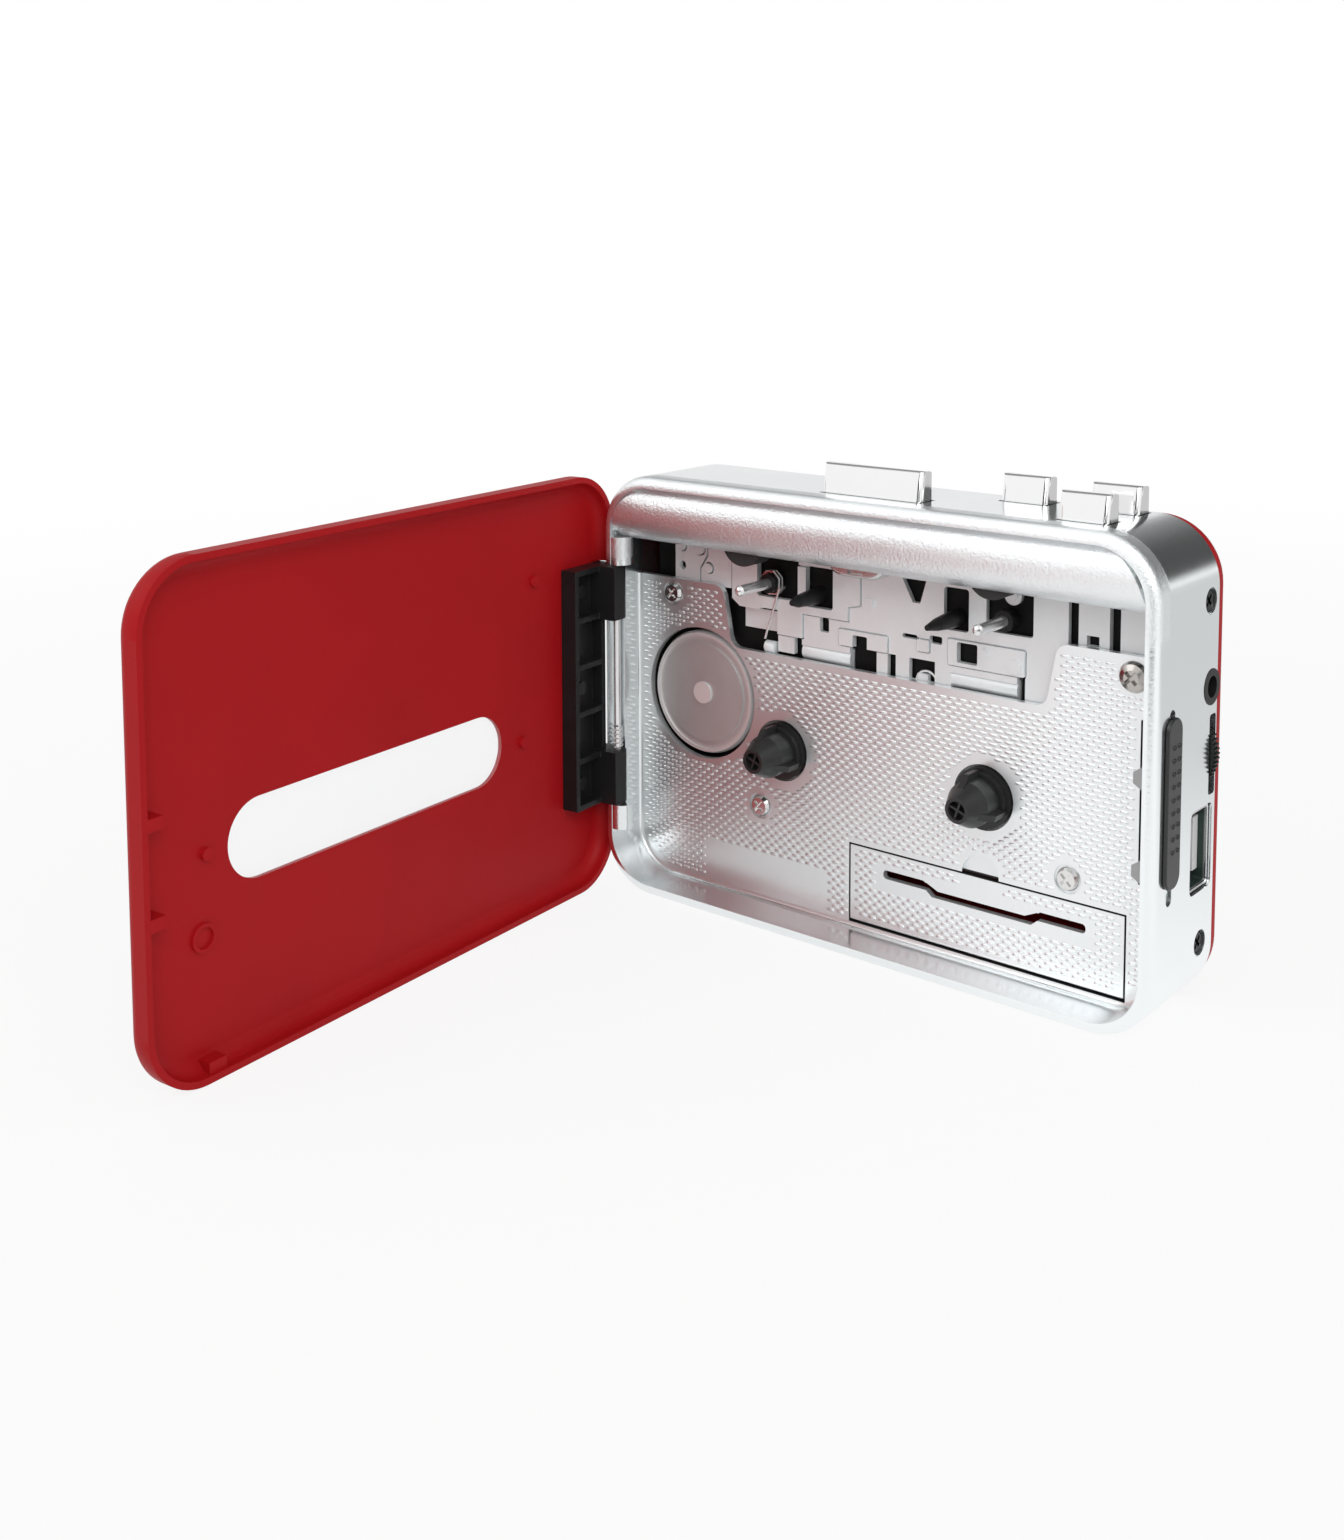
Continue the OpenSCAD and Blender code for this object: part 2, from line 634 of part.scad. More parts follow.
module shell_top() color("silver") in_case() difference() {
    intersection() {
        union() {
            shell_walls();
            brow();
            hinge_posts();
        }
        block(-side_x - 1, side_x + 1, -brow_r - 1, shell_d + 1, wall_cut_high, case_h + 1);
    }
    window_cut();
    right_wall_cuts();
    key_hole(wide_key_x, front_row_d, wide_key_w);
    key_hole(corner_key_x, front_row_d, small_key_w);
    key_hole(forward_key_x, rear_row_d, small_key_w);
    key_hole(corner_key_x, rear_row_d, small_key_w);
    hinge_pin_hole();
}
module shell_bottom() color("silver") in_case() difference() {
    intersection() {
        shell_walls();
        block(-side_x - 1, side_x + 1, -1, shell_d + 1, -1, wall_cut_low);
    }
    right_wall_cuts();
}
module shell_left() color("silver") in_case() difference() {
    intersection() {
        union() {
            side_wall();
            hinge_posts();
        }
        block(-side_x - 1, 0, -1, shell_d + 1, wall_cut_low, wall_cut_high);
    }
    window_cut();
    hinge_room();
    hinge_pin_hole();
}
module shell_right() color("silver") in_case() difference() {
    intersection() {
        mirror([1, 0, 0]) side_wall();
        block(0, side_x + 1, -1, shell_d + 1, wall_cut_low, wall_cut_high);
    }
    window_cut();
    right_wall_cuts();
}

// Panel seated behind a lip at the foot of the walls, with the walls of the battery bay behind it
module well_panel() color("silver") in_case() difference() {
    intersection() {
        layer(well_d - panel_lip, shell_d) well_outline(seat_gap);
        union() {
            block(-side_x, side_x, 0, panel_back, 0, case_h);
            lid_bosses();
            block(-side_x, side_x, panel_back - 0.1, shell_d, bay_top, bay_top + bay_wall);
            for (x = [bay_left - bay_wall, bay_right])
                block(x, x + bay_wall, panel_back - 0.1, shell_d, 0, bay_top + 0.1);
            rod(dome_at[0], dome_at[1], dome_r, panel_back - 0.1, panel_back + 3);
        }
    }
    well_space();
    panel_cuts();
}

// Rear cover with the lugs that the side screws bite into
lug_w = 3.6;
lug_h = 5.6;
module rear_cover() color("firebrick") in_case() difference() {
    union() {
        difference() {
            soft_slab(-side_x + cover_step, side_x - cover_step, cover_step, case_h - cover_step,
                corner_r - cover_step, cover_fillet, shell_d + cover_d, shell_d);
            layer(shell_d - 1, cover_inner) rounded_rect(-inner_x, inner_x, shell_wall, inner_top, inner_r);
        }
        for (s = side_screw_at)
            block(inner_x - seat_gap - lug_w, inner_x - seat_gap, s[0] - 2.6, cover_inner + 0.1,
                s[1] - lug_h / 2, s[1] + lug_h / 2);
    }
    facing_right() for (s = side_screw_at)
        rod(s[0], s[1], screw_r + seat_gap, 0, shell_wall + lug_w + 1);
    facing_right() rod(jack_d, jack_z, jack_ring_r + seat_gap, -1, shell_wall + 1);
}

// Cassette door, modelled closed and turned to its open stop
module window_outline(grow) {
    w = window_w / 2 + grow;
    h = window_h / 2 + grow;
    rounded_rect(window_x - w, window_x + w, window_z - h, window_z + h, h - 0.01);
}
pip_at = [[at_x(43), at_z(34.5)], [at_x(-32.3), at_z(33)], [at_x(-36), at_z(62.8)]];
ejector_mark_at = [at_x(43.8), at_z(21.6)];
bottom_tab_x = at_x(42);
door_inside = -door_t + door_wall;
catch_x = inner_x - slide_gap - 1.4;
module cassette_door() color("firebrick") in_case() door_pose() difference() {
    union() {
        difference() {
            soft_slab(-side_x, side_x, door_gap, case_h - door_gap, corner_r, door_fillet,
                -door_t, -door_gap);
            soft_slab(-side_x + door_lip, side_x - door_lip, door_gap + door_lip,
                case_h - door_gap - door_lip, corner_r - door_lip, door_cove, door_inside, 1);
        }
        for (p = pip_at) rod(p[0], p[1], 1, door_inside - 0.1, door_inside + 0.8);
        difference() {
            rod(ejector_mark_at[0], ejector_mark_at[1], 2.3, door_inside - 0.1, door_inside + 0.5);
            rod(ejector_mark_at[0], ejector_mark_at[1], 1.7, door_inside, door_inside + 1);
        }
        for (z = [hook_lower_z, hook_upper_z])
            block(catch_x, side_x - door_lip + 0.1, door_inside - 0.1, -door_gap, z - 1, z + 1);
        block(bottom_tab_x, bottom_tab_x + 3.4, door_inside - 0.1, -door_gap - 0.6,
            door_gap + door_lip - 0.1, door_gap + door_lip + 1.8);
    }
    layer(-door_t - 1, 1) window_outline(0);
    layer(-door_t - 1, -door_t + door_wall / 2) window_outline(window_ledge);
    block(-side_x - 1, hinge_x + 2, door_inside, 1, bracket_z0 - slide_gap, bracket_z1 + slide_gap);
}

module door_window() color([0.93, 0.96, 1, 0.35]) in_case() door_pose() {
    layer(-door_t, -door_t + door_wall / 2 - seat_gap) window_outline(window_ledge - seat_gap);
    layer(-door_t + door_wall / 2 - 2 * seat_gap, door_inside) window_outline(-seat_gap);
}

// Hinge bracket on the door's inner face: a ribbed tray with a knuckle at each end
bracket_screw_z = [bracket_z0 + 4.6, (bracket_z0 + bracket_z1) / 2, bracket_z1 - 4.6];
bracket_screw_x = hinge_x + knuckle_reach + (bracket_w - knuckle_reach) / 2;
module hinge_bracket() color("#1b1a20") in_case() door_pose() {
    x0 = hinge_x + 1.2;
    x1 = hinge_x + bracket_w;
    rib_top = door_inside + bracket_rib_t + bracket_rib_h;
    span = bracket_z1 - bracket_z0;
    difference() {
        union() {
            block(x0, x1, door_inside, door_inside + bracket_rib_t, bracket_z0, bracket_z1);
            for (x = [x0, x1 - bracket_rib_t])
                block(x, x + bracket_rib_t, door_inside, rib_top, bracket_z0, bracket_z1);
            for (i = [0:5]) translate([0, 0, i * (span - bracket_rib_t) / 5])
                block(x0, x1, door_inside, rib_top, bracket_z0, bracket_z0 + bracket_rib_t);
            for (z = [bracket_z0, bracket_z1 - knuckle_h]) {
                translate([hinge_x, hinge_d, z]) cylinder(r = barrel_r, h = knuckle_h);
                block(hinge_x - barrel_r, hinge_x + barrel_r, door_inside, hinge_d, z, z + knuckle_h);
                block(hinge_x, hinge_x + knuckle_reach, door_inside, hinge_d + barrel_r, z, z + knuckle_h);
            }
        }
        translate([hinge_x, hinge_d, bracket_z0 - 1]) cylinder(r = pin_r + run_gap, h = span + 2);
        for (z = bracket_screw_z)
            rod(bracket_screw_x, z, screw_r + seat_gap, door_inside - 1, door_inside + bracket_rib_t + 1);
    }
}

module bracket_screws() color("#2a2a2e") in_case() door_pose() for (z = bracket_screw_z)
    translate([0, door_inside + bracket_rib_t, 0]) mirror([0, 1, 0]) translate([0, -1, 0]) {
        rod(bracket_screw_x, z, 1.3, 0, 1);
        rod(bracket_screw_x, z, screw_r, 0.9, bracket_rib_t + 1);
    }

module hinge_pin() color("gainsboro") in_case()
    translate([hinge_x, hinge_d, bracket_z0 - slide_gap - hinge_post_h + 1.4])
        cylinder(r = pin_r, h = bracket_z1 - bracket_z0 + 2 * slide_gap + 2 * hinge_post_h - 2.8);

spring_mean_r = pin_r + run_gap + 0.05 + spring_wire_r;
spring_z = bracket_z0 + knuckle_h + slide_gap + spring_wire_r;
hinge_spring_points = concat(
    [for (i = [0:spring_turns * rings_per_turn]) let (a = 360 * i / rings_per_turn)
        [hinge_x + spring_mean_r * cos(a), hinge_d + spring_mean_r * sin(a),
            spring_z + spring_pitch * i / rings_per_turn]],
    [[hinge_x + spring_mean_r, hinge_d + 1, spring_z + spring_pitch * (spring_turns + 0.1)]]);
echo(str("hinge_spring least gap ", least_gap(hinge_spring_points, spring_wire_r), " mm"));
module hinge_spring() color("gainsboro") in_case() door_pose()
    wire(hinge_spring_points, spring_wire_r, [0, 0, 1]);

// Battery lid, hinged on two pegs at its rounded lower edge, with a stepped viewing slot
module lid_slot() {
    z = lid_top - 4.7;
    low = z - 1;
    x0 = lid_left + 7;
    x1 = lid_right - 6.8;
    end_w = 8.8;
    slope = 1.2;
    for (x = [x0, x1 - end_w]) rounded_rect(x, x + end_w, z, z + 1.6, 0.7);
    polygon([[x0 + end_w - 1, z], [x0 + end_w, z], [x0 + end_w + slope, low], [x1 - end_w - slope, low],
        [x1 - end_w, z], [x1 - end_w + 1, z], [x1 - end_w, z + 1.4], [x1 - end_w - 2 * slope, low + 1.3],
        [x0 + end_w + 2 * slope, low + 1.3], [x0 + end_w, z + 1.4]]);
}
module battery_lid() color("silver") in_case() {
    difference() {
        union() {
            block(lid_left, lid_right, well_d, panel_back, lid_axis_z, lid_top);
            translate([lid_left, lid_axis_d, lid_axis_z]) rotate([0, 90, 0])
                cylinder(r = lid_bead_r, h = lid_right - lid_left);
        }
        layer(well_d - 1, panel_back + 2) lid_slot();
    }
    translate([lid_left - lid_peg_len, lid_axis_d, lid_axis_z]) rotate([0, 90, 0])
        cylinder(r = lid_peg_r, h = lid_right - lid_left + 2 * lid_peg_len);
}

// Battery contacts: a sprung plate at the left end of the bay and a flat one at the right end
cell_d = (lid_axis_d + lid_bead_r + cover_inner) / 2;
cell_z = (shell_wall + bay_top) / 2;
contact_turns = 4;
contact_pitch = 1.3;
contact_points = [for (i = [0:contact_turns * rings_per_turn])
    let (a = 360 * i / rings_per_turn, r = 4 - 0.06 * i)
    [bay_left + seat_gap + contact_t + contact_wire_r + contact_pitch * i / rings_per_turn,
        cell_d + r * cos(a), cell_z + r * sin(a)]];
echo(str("battery_contacts least gap ", least_gap(contact_points, contact_wire_r), " mm"));
module battery_contacts() color("gainsboro") in_case() {
    half = 5.4;
    block(bay_left + seat_gap, bay_left + seat_gap + contact_t, cell_d - half, cell_d + half,
        cell_z - half, cell_z + half);
    wire(contact_points, contact_wire_r, [1, 0, 0]);
    block(bay_right - seat_gap - contact_t, bay_right - seat_gap, cell_d - half, cell_d + half,
        cell_z - half, cell_z + half);
}

// Slider with rows of grip bumps, and the latch plate that it carries inside the right wall
bump_r = 0.5;
bump_sink = 0.2;
bump_rows = 9;
bump_pitch = 2.1;
module open_slider() color("#3a3a3c") in_case() facing_right() {
    d1 = slider_d0 + slider_w;
    soft_slab(slider_d0, d1, slider_z0, slider_z0 + slider_len, slider_w / 2 - 0.3, 0.3,
        -slider_proud, -slider_gap);
    for (d = [d1 - 1.1, d1 - 2.9], i = [0:bump_rows - 1])
        translate([d, bump_sink - slider_proud, slider_z0 + 6 + i * bump_pitch]) sphere(bump_r);
    layer(-slider_gap - 0.1, side_x - latch_x) rounded_rect(track_d - track_w / 2 + slide_gap,
        track_d + track_w / 2 - slide_gap, slider_z0 + 3, slider_z0 + slider_len - 3, 0.6);
}

module hook_outline(z) {
    x0 = inner_x - hook_reach;
    translate([x0 + 1, z - hook_neck_h / 2]) square([latch_x - x0 - 1, hook_neck_h]);
    polygon([[x0, z - hook_head_h / 4], [x0 + 1.4, z - hook_head_h / 2], [x0 + 1.4, z + hook_head_h / 2],
        [x0, z + hook_head_h / 4]]);
}
module latch_plate() color("gainsboro") in_case() {
    block(latch_x - latch_t, latch_x, hook_d, track_d + 2, slider_z0 + 0.4, slider_z0 + slider_len - 0.6);
    layer(hook_d, hook_d + hook_t) {
        hook_outline(hook_upper_z);
        hook_outline(hook_lower_z);
    }
}

// Keys: a crowned cap, a body in its hole and a flange below the wall that keeps it in
module key(x, d, w, h) {
    crown = 0.5;
    flange_top = inner_top - slide_gap;
    flange_t = 0.8;
    base_r = 0.6;
    cap_r = 1.1;
    draft = 8;
    intersection() {
        translate([0, 0, case_h]) {
            linear_extrude(h - crown) translate([0, d])
                rounded_rect(x - w / 2, x + w / 2, 0, key_depth, base_r);
            intersection() {
                linear_extrude(h) translate([0, d]) rounded_rect(x - w / 2, x + w / 2, 0, key_depth, base_r);
                crown_r = (key_depth * key_depth / 4 + crown * crown) / (2 * crown);
                translate([x, d + key_depth / 2, h - crown_r]) rotate([0, 90, 0])
                    cylinder(r = crown_r, h = w, center = true);
            }
        }
        translate([x, d, case_h + 0.3]) rotate([-draft, 0, 0]) translate([0, 0, -4])
            linear_extrude(2 * h + 8) rounded_rect(-w / 2, w / 2, 0, key_depth + 4, cap_r);
    }
    block(x - w / 2 + 0.1, x + w / 2 - 0.1, d + 0.1, d + key_depth - 0.1, flange_top - 0.1, case_h + 0.1);
    block(x - w / 2 - key_flange, x + w / 2 + key_flange, d - key_flange, d + key_depth + key_flange,
        flange_top - flange_t, flange_top);
}
module play_key() color("gainsboro") in_case() key(wide_key_x, front_row_d, wide_key_w, wide_key_h);
module stop_key() color("gainsboro") in_case() key(corner_key_x, front_row_d, small_key_w, small_key_h);
module forward_key() color("gainsboro") in_case() key(forward_key_x, rear_row_d, small_key_w, small_key_h);
module rewind_key() color("gainsboro") in_case() key(corner_key_x, rear_row_d, small_key_w, small_key_h);

// Chassis behind the panel: it carries the drive and stands on posts behind the panel screws
chassis_left = -inner_x + 2.8;
chassis_right = inner_x - 8.6;
roll_r = 1.8;
roll_z = sill_z + 1.2;
roll_runs = [[at_x(-16.8), at_x(-6.2)], [at_x(14.6), at_x(27.5)]];
straps = [[at_x(-0.5), at_x(1.8)], [at_x(3.5), at_x(6.3)], [at_x(11.5), at_x(14.7)]];
low_plate_x = [at_x(-30.8), at_x(-22.4)];
low_plate_z = [at_z(53.2), at_z(57)];
module mechanism_chassis() color("#2b2c30") in_case() difference() {
    union() {
        block(chassis_left, chassis_right, chassis_front, chassis_back,
            bay_top + bay_wall + slide_gap, mechanism_top);
        for (s = panel_screw_at) rod(s[0], s[1], post_r, panel_back, chassis_front + 0.1);
    }
    for (run = roll_runs) block(run[0] - slide_gap, run[1] + slide_gap, chassis_front - 1, chassis_back + 1,
        roll_z - roll_r - head_travel - 2 * slide_gap, roll_z + roll_r + slide_gap);
    block(low_plate_x[0] - seat_gap, low_plate_x[1] + seat_gap, chassis_front - 1, chassis_back + 1,
        low_plate_z[0] - seat_gap, low_plate_z[1] + seat_gap);
    rod(motor_x, motor_z, motor_can_r + run_gap, panel_back, chassis_back + 1);
    for (x = [reel_left_x, reel_right_x])
        rod(x, reel_z, reel_shaft_r + seat_gap, chassis_front - 1, chassis_back + 1);
    for (x = [capstan_left_x, capstan_right_x])
        rod(x, capstan_z, bushing_r + seat_gap, chassis_front - 1, chassis_back + 1);
    for (x = [guide_left_x, guide_right_x])
        rod(x, guide_z, guide_r + seat_gap, chassis_front - 1, chassis_back + 1);
    for (s = panel_screw_at) rod(s[0], s[1], screw_r + seat_gap, panel_back - 1, chassis_back + 1);
}

// Fixed steel pieces round the head plate: two riveted plates on the left, a joined pair of strips on
// the right, a stud by the right capstan and a low plate and a stub under the left end
strip_left = at_x(38.6);
strip_w = 5.5;
bar_left = inner_x - 8.8;
bar_right = inner_x - 1.6;
plate_left = at_x(-32.8);
rivet_plate_left = at_x(-46.9);
rivet_plate_right = plate_left - slide_gap - 0.1;
seam_x = at_x(-40);
stud_at = [at_x(26.3), at_z(66.8)];
stud_r = 1.6;
rivet_r = 0.9;
rivet_h = 0.4;
stub_r = 1.1;
module rivet(x, z, r, base) rod(x, z, r, base - rivet_h, base + 0.1);
module side_strips() color("#c9ccce") in_case() {
    low = shoulder_left_z - 0.6;
    bridge = mechanism_top - 3.3;
    stakes = [[seam_x + 1.4, low + 3.2, rivet_r], [seam_x - 0.9, low + 6.8, 1.2],
        [rivet_plate_left + 1.7, low + 6.8, rivet_r]];
    difference() {
        block(rivet_plate_left, rivet_plate_right, head_front, chassis_front, low, mechanism_top);
        layer(head_front - 1, chassis_front + 1) polygon([[seam_x + 0.8, mechanism_top + 1],
            [seam_x + 0.8, low + 5.6], [seam_x - 0.9, low + 3], [seam_x - 0.9, low - 1],
            [seam_x - 0.5, low - 1], [seam_x - 0.5, low + 2.9], [seam_x + 1.2, low + 5.5],
            [seam_x + 1.2, mechanism_top + 1]]);
        rod(rivet_plate_left + 1.7, low + 3, rivet_r, head_front - 1, chassis_front + 1);
        for (s = stakes) rod(s[0], s[1], s[2] + 0.3, head_front - 1, chassis_front + 1);
    }
    for (s = stakes) rod(s[0], s[1], s[2], head_front - rivet_h, chassis_front);
    difference() {
        block(strip_left, strip_left + strip_w, head_front, chassis_front, sill_z + 1.7, mechanism_top);
        block(strip_left + 1.5, strip_left + 3.7, head_front - 1, chassis_front + 1,
            shoulder_right_z, shoulder_right_z + 1.7);
    }
    block(bar_left, bar_right, head_front, chassis_front, shoulder_right_z - 0.2, bridge);
    block(strip_left, bar_right, head_front, chassis_front, bridge - 3, bridge);
    rod(stud_at[0], stud_at[1], stud_r, head_front + 0.4, chassis_front);
    rod(stud_at[0], stud_at[1], stud_r / 2, head_front + 0.1, chassis_front);
    block(low_plate_x[0], low_plate_x[1], chassis_front, chassis_back, low_plate_z[0], low_plate_z[1]);
    translate([low_plate_x[1] - 2.5, chassis_front - stub_r, sill_z + 1]) rotate([0, 90, 0])
        cylinder(r = stub_r, h = 2.3);
}

// Head plate: the pressed steel plate that slides down to the tape, in two levels, with rolled lower edges
plate_right = strip_left - 1.8;
plate_top = mechanism_top;
plate_low = at_z(57.7);
sheet_low = at_z(53.2);
level_h = 0.3;
level_top = at_z(66.5);
foot_left = at_x(-22.2);
foot_right = at_x(-16.6);
module plate_hole(x, z, left, right, r, top) {
    rounded_rect(x - left, x + right, z - r - slide_gap, top, 0.6);
}
module plate_window(x0, x1, z0, z1) rounded_rect(at_x(x0), at_x(x1), at_z(z0), at_z(z1), 0.35);
module plate_outline() {
    notch_x = at_x(7.6);
    notch_z = at_z(63.1);
    strap_low = sill_z - 0.6;
    tab_x = at_x(8);
    coil_out = capstan_spring_r + capstan_wire_r;
    clear = head_travel + 2 * slide_gap + 0.6;
    difference() {
        union() {
            polygon([[plate_left, plate_low + 0.9], [at_x(-31), plate_low - 0.4],
                [at_x(-26.4), plate_low - 0.5], [at_x(-26.4), plate_low], [plate_right, plate_low],
                [plate_right, plate_top], [plate_left, plate_top]]);
            translate([foot_left, sheet_low]) square([plate_right - foot_left, plate_low - sheet_low + 0.1]);
            translate([foot_left, sill_z + 0.4]) square([at_x(-18.5) - foot_left, sheet_low - sill_z]);
            translate([at_x(29), strap_low]) square([plate_right - at_x(29), sheet_low - strap_low + 0.1]);
            for (s = straps) translate([s[0], strap_low]) square([s[1] - s[0], sheet_low - strap_low + 0.1]);
            for (run = roll_runs) translate([run[0], roll_z + 1.2])
                square([run[1] - run[0], sheet_low - roll_z - 1.1]);
            translate([straps[1][1] - 0.1, strap_low]) square([straps[2][0] - straps[1][1] + 0.2, 0.5]);
            translate([tab_x, strap_low]) square([2.1, sill_z + 1.2 - strap_low]);
        }
        plate_hole(capstan_left_x, capstan_z, 3.3, 6, coil_out, capstan_z + coil_out + clear);
        plate_hole(capstan_right_x, capstan_z, 4.1, 4.8, bushing_r + 0.4,
            stud_at[1] + stud_r + head_travel + 2 * slide_gap);
        plate_hole(guide_left_x, guide_z, 2.3, 3.7, guide_r + 0.4, guide_z + guide_r + 0.4 + clear);
        plate_hole(guide_right_x, guide_z, 2.3, 2.6, guide_r + 0.4, guide_z + guide_r + 0.4 + clear);
        polygon([[notch_x - 2.9, notch_z + 4.1], [notch_x - 0.7, notch_z], [notch_x + 0.8, notch_z],
            [notch_x + 2, notch_z + 4.1]]);
        plate_window(16, 20, 53.9, 57.5);
        plate_window(-12.8, -10.8, 55, 57.6);
        plate_window(-5.5, -2.4, 52.4, 55.5);
        plate_window(4.8, 7.9, 56.6, 57.4);
        plate_window(10.4, 12.9, 56.4, 57.8);
    }
}
module upper_level() {
    polygon([[plate_left - 1, level_top], [plate_left - 1, sheet_low], [foot_left - 2, sheet_low],
        [foot_right, sheet_low], [foot_right, plate_low + 0.1], [at_x(-6.6), plate_low + 0.1],
        [at_x(-6.6), at_z(60.4)], [at_x(-4), at_z(61)], [at_x(-4), level_top]]);
    plate_window(-8.5, 1.8, 53.3, 56.2);
    plate_window(7.9, 10.4, 54.7, 56.8);
    plate_window(14.2, 29, 53.3, 57.8);
}
// A pressed line round the raised level
module level_groove() difference() {
    offset(delta = 0.25) upper_level();
    upper_level();
}
module head_plate() color("#c9ccce") in_case() {
    difference() {
        layer(head_front, head_back) plate_outline();
        layer(head_front - 1, head_front + 0.6) level_groove();
    }
    layer(head_front - level_h, head_front + 0.1) intersection() {
        plate_outline();
        upper_level();
    }
    for (run = roll_runs) translate([run[0], head_front + roll_r, roll_z]) rotate([0, 90, 0])
        cylinder(r = roll_r, h = run[1] - run[0]);
    rivet(at_x(21.4), at_z(56.2), 0.8, head_front - level_h);
    rivet(at_x(27.2), at_z(54.9), 1.2, head_front - level_h);
    rivet(at_x(-2), at_z(61.7), rivet_r, head_front);
    translate([at_x(9.6), head_front + 0.5, sill_z - 0.4]) rotate([90, 0, 0])
        rotate_extrude(angle = 180) translate([2.1, 0]) circle(0.2);
}

// Tape head: a steel can with a rounded lower edge and a notch for the tape's guide
head_x = at_x(-1);
head_z = mechanism_top - head_h - 0.4;
module tape_head() color("#b9bcc0") in_case() difference() {
    soft_slab(head_x - head_w / 2, head_x + head_w / 2, head_z, head_z + head_h, head_h / 2 - 0.1, 0.8,
        head_front - head_reach, head_front);
    block(head_x - 1.6, head_x + 1.6, head_front - head_reach - 1, head_front - head_reach + 0.6,
        head_z + 0.7, head_z + 1.3);
}

// Pinch rollers on pins that their arms hold in front of the head plate
roller_left_at = [tape_x - 26.8, capstan_z + 8.3];
roller_right_at = [tape_x + 24.8, capstan_z + 9.1];
roller_back = well_d - 0.4;
roller_front = roller_back - roller_len;
arm_t = 0.9;
arm_r = 2.2;
module pinch_arm(at, pivot) {
    lean = atan2(pivot[1] - at[1], pivot[0] - at[0]);
    for (p = [at, pivot]) rod(p[0], p[1], arm_r, head_front - arm_t, head_front);
    translate([at[0], head_front - arm_t, at[1]]) rotate([0, -lean, 0]) translate([0, 0, -arm_r])
        cube([norm(pivot - at), arm_t, 2 * arm_r]);
    rod(at[0], at[1], roller_pin_r, roller_front - 0.3, head_front);
}
module pinch_arms() color("#d4d6d8") in_case() {
    pinch_arm(roller_left_at, roller_left_at + [6.6, 0.8]);
    pinch_arm(roller_right_at, roller_right_at + [-6.6, 0.6]);
}
module pinch_roller(at) difference() {
    rod(at[0], at[1], roller_r, roller_front, roller_back);
    rod(at[0], at[1], roller_pin_r + run_gap, roller_front - 1, roller_back + 1);
}
module pinch_roller_left() color("#3c3d3f") in_case() pinch_roller(roller_left_at);
module pinch_roller_right() color("#3c3d3f") in_case() pinch_roller(roller_right_at);

// Capstans turn in bushings in the chassis and carry the flywheels behind it
bushing_front = well_d;
capstan_tip = -0.5;
module bushing(x) difference() {
    rod(x, capstan_z, bushing_r, bushing_front, chassis_back + flywheel_gap - slide_gap);
    rod(x, capstan_z, capstan_r + run_gap, bushing_front - 1, flywheel_front);
}
module capstan_bushings() color("#151515") in_case() {
    bushing(capstan_left_x);
    bushing(capstan_right_x);
}
module capstan(x) {
    rod(x, capstan_z, capstan_r, capstan_tip + 0.7, thrust_back);
    taper(x, capstan_z, 0.75 * capstan_r, capstan_r, capstan_tip + 0.25, capstan_tip + 0.7);
    taper(x, capstan_z, 0.3 * capstan_r, 0.75 * capstan_r, capstan_tip, capstan_tip + 0.25);
}
module capstan_left() color("whitesmoke") in_case() capstan(capstan_left_x);
module capstan_right() color("whitesmoke") in_case() capstan(capstan_right_x);
module flywheel(x) difference() {
    union() {
        rod(x, capstan_z, flywheel_r, flywheel_front, flywheel_front + flywheel_t);
        rod(x, capstan_z, flywheel_pulley_r, flywheel_front + flywheel_t - 0.1, belt_back + pulley_rim);
    }
    rod(x, capstan_z, capstan_r + seat_gap, flywheel_front - 1, thrust_front);
}
module flywheel_left() color("#b08d57") in_case() flywheel(capstan_left_x);
module flywheel_right() color("#b08d57") in_case() flywheel(capstan_right_x);

// Thrust plate behind the flywheels, on posts from the chassis
thrust_post_at = [[tape_x, mechanism_top - 2.4], [tape_x, capstan_z - 7.7],
    [capstan_right_x + flywheel_r + 4, capstan_z + 3.3]];
module thrust_plate() color("#b9bcc0") in_case() difference() {
    union() {
        block(capstan_left_x - 4, thrust_post_at[2][0] + 2.4, thrust_front, thrust_back,
            capstan_z - 3.4, capstan_z + 5.7);
        block(tape_x - 4, tape_x + 4, thrust_front, thrust_back, capstan_z - 10.1, mechanism_top);
        for (p = thrust_post_at) rod(p[0], p[1], 1.8, chassis_back, thrust_front + 0.1);
    }
    for (x = [capstan_left_x, capstan_right_x])
        rod(x, capstan_z, capstan_r + run_gap, thrust_front - 1, thrust_back + 1);
}

guide_tip = 0.9;
module guide_pin(x, tip) {
    rod(x, guide_z, guide_r, head_front - 1.5, chassis_back);
    taper(x, guide_z, guide_r * 0.75, guide_r, head_front - 6, head_front - 1.5);
    taper(x, guide_z, guide_tip_r, guide_r * 0.75, tip, head_front - 6);
}
module guide_pins() color("#111111") in_case() {
    guide_pin(guide_left_x, guide_tip + 1.4);
    guide_pin(guide_right_x, guide_tip);
}

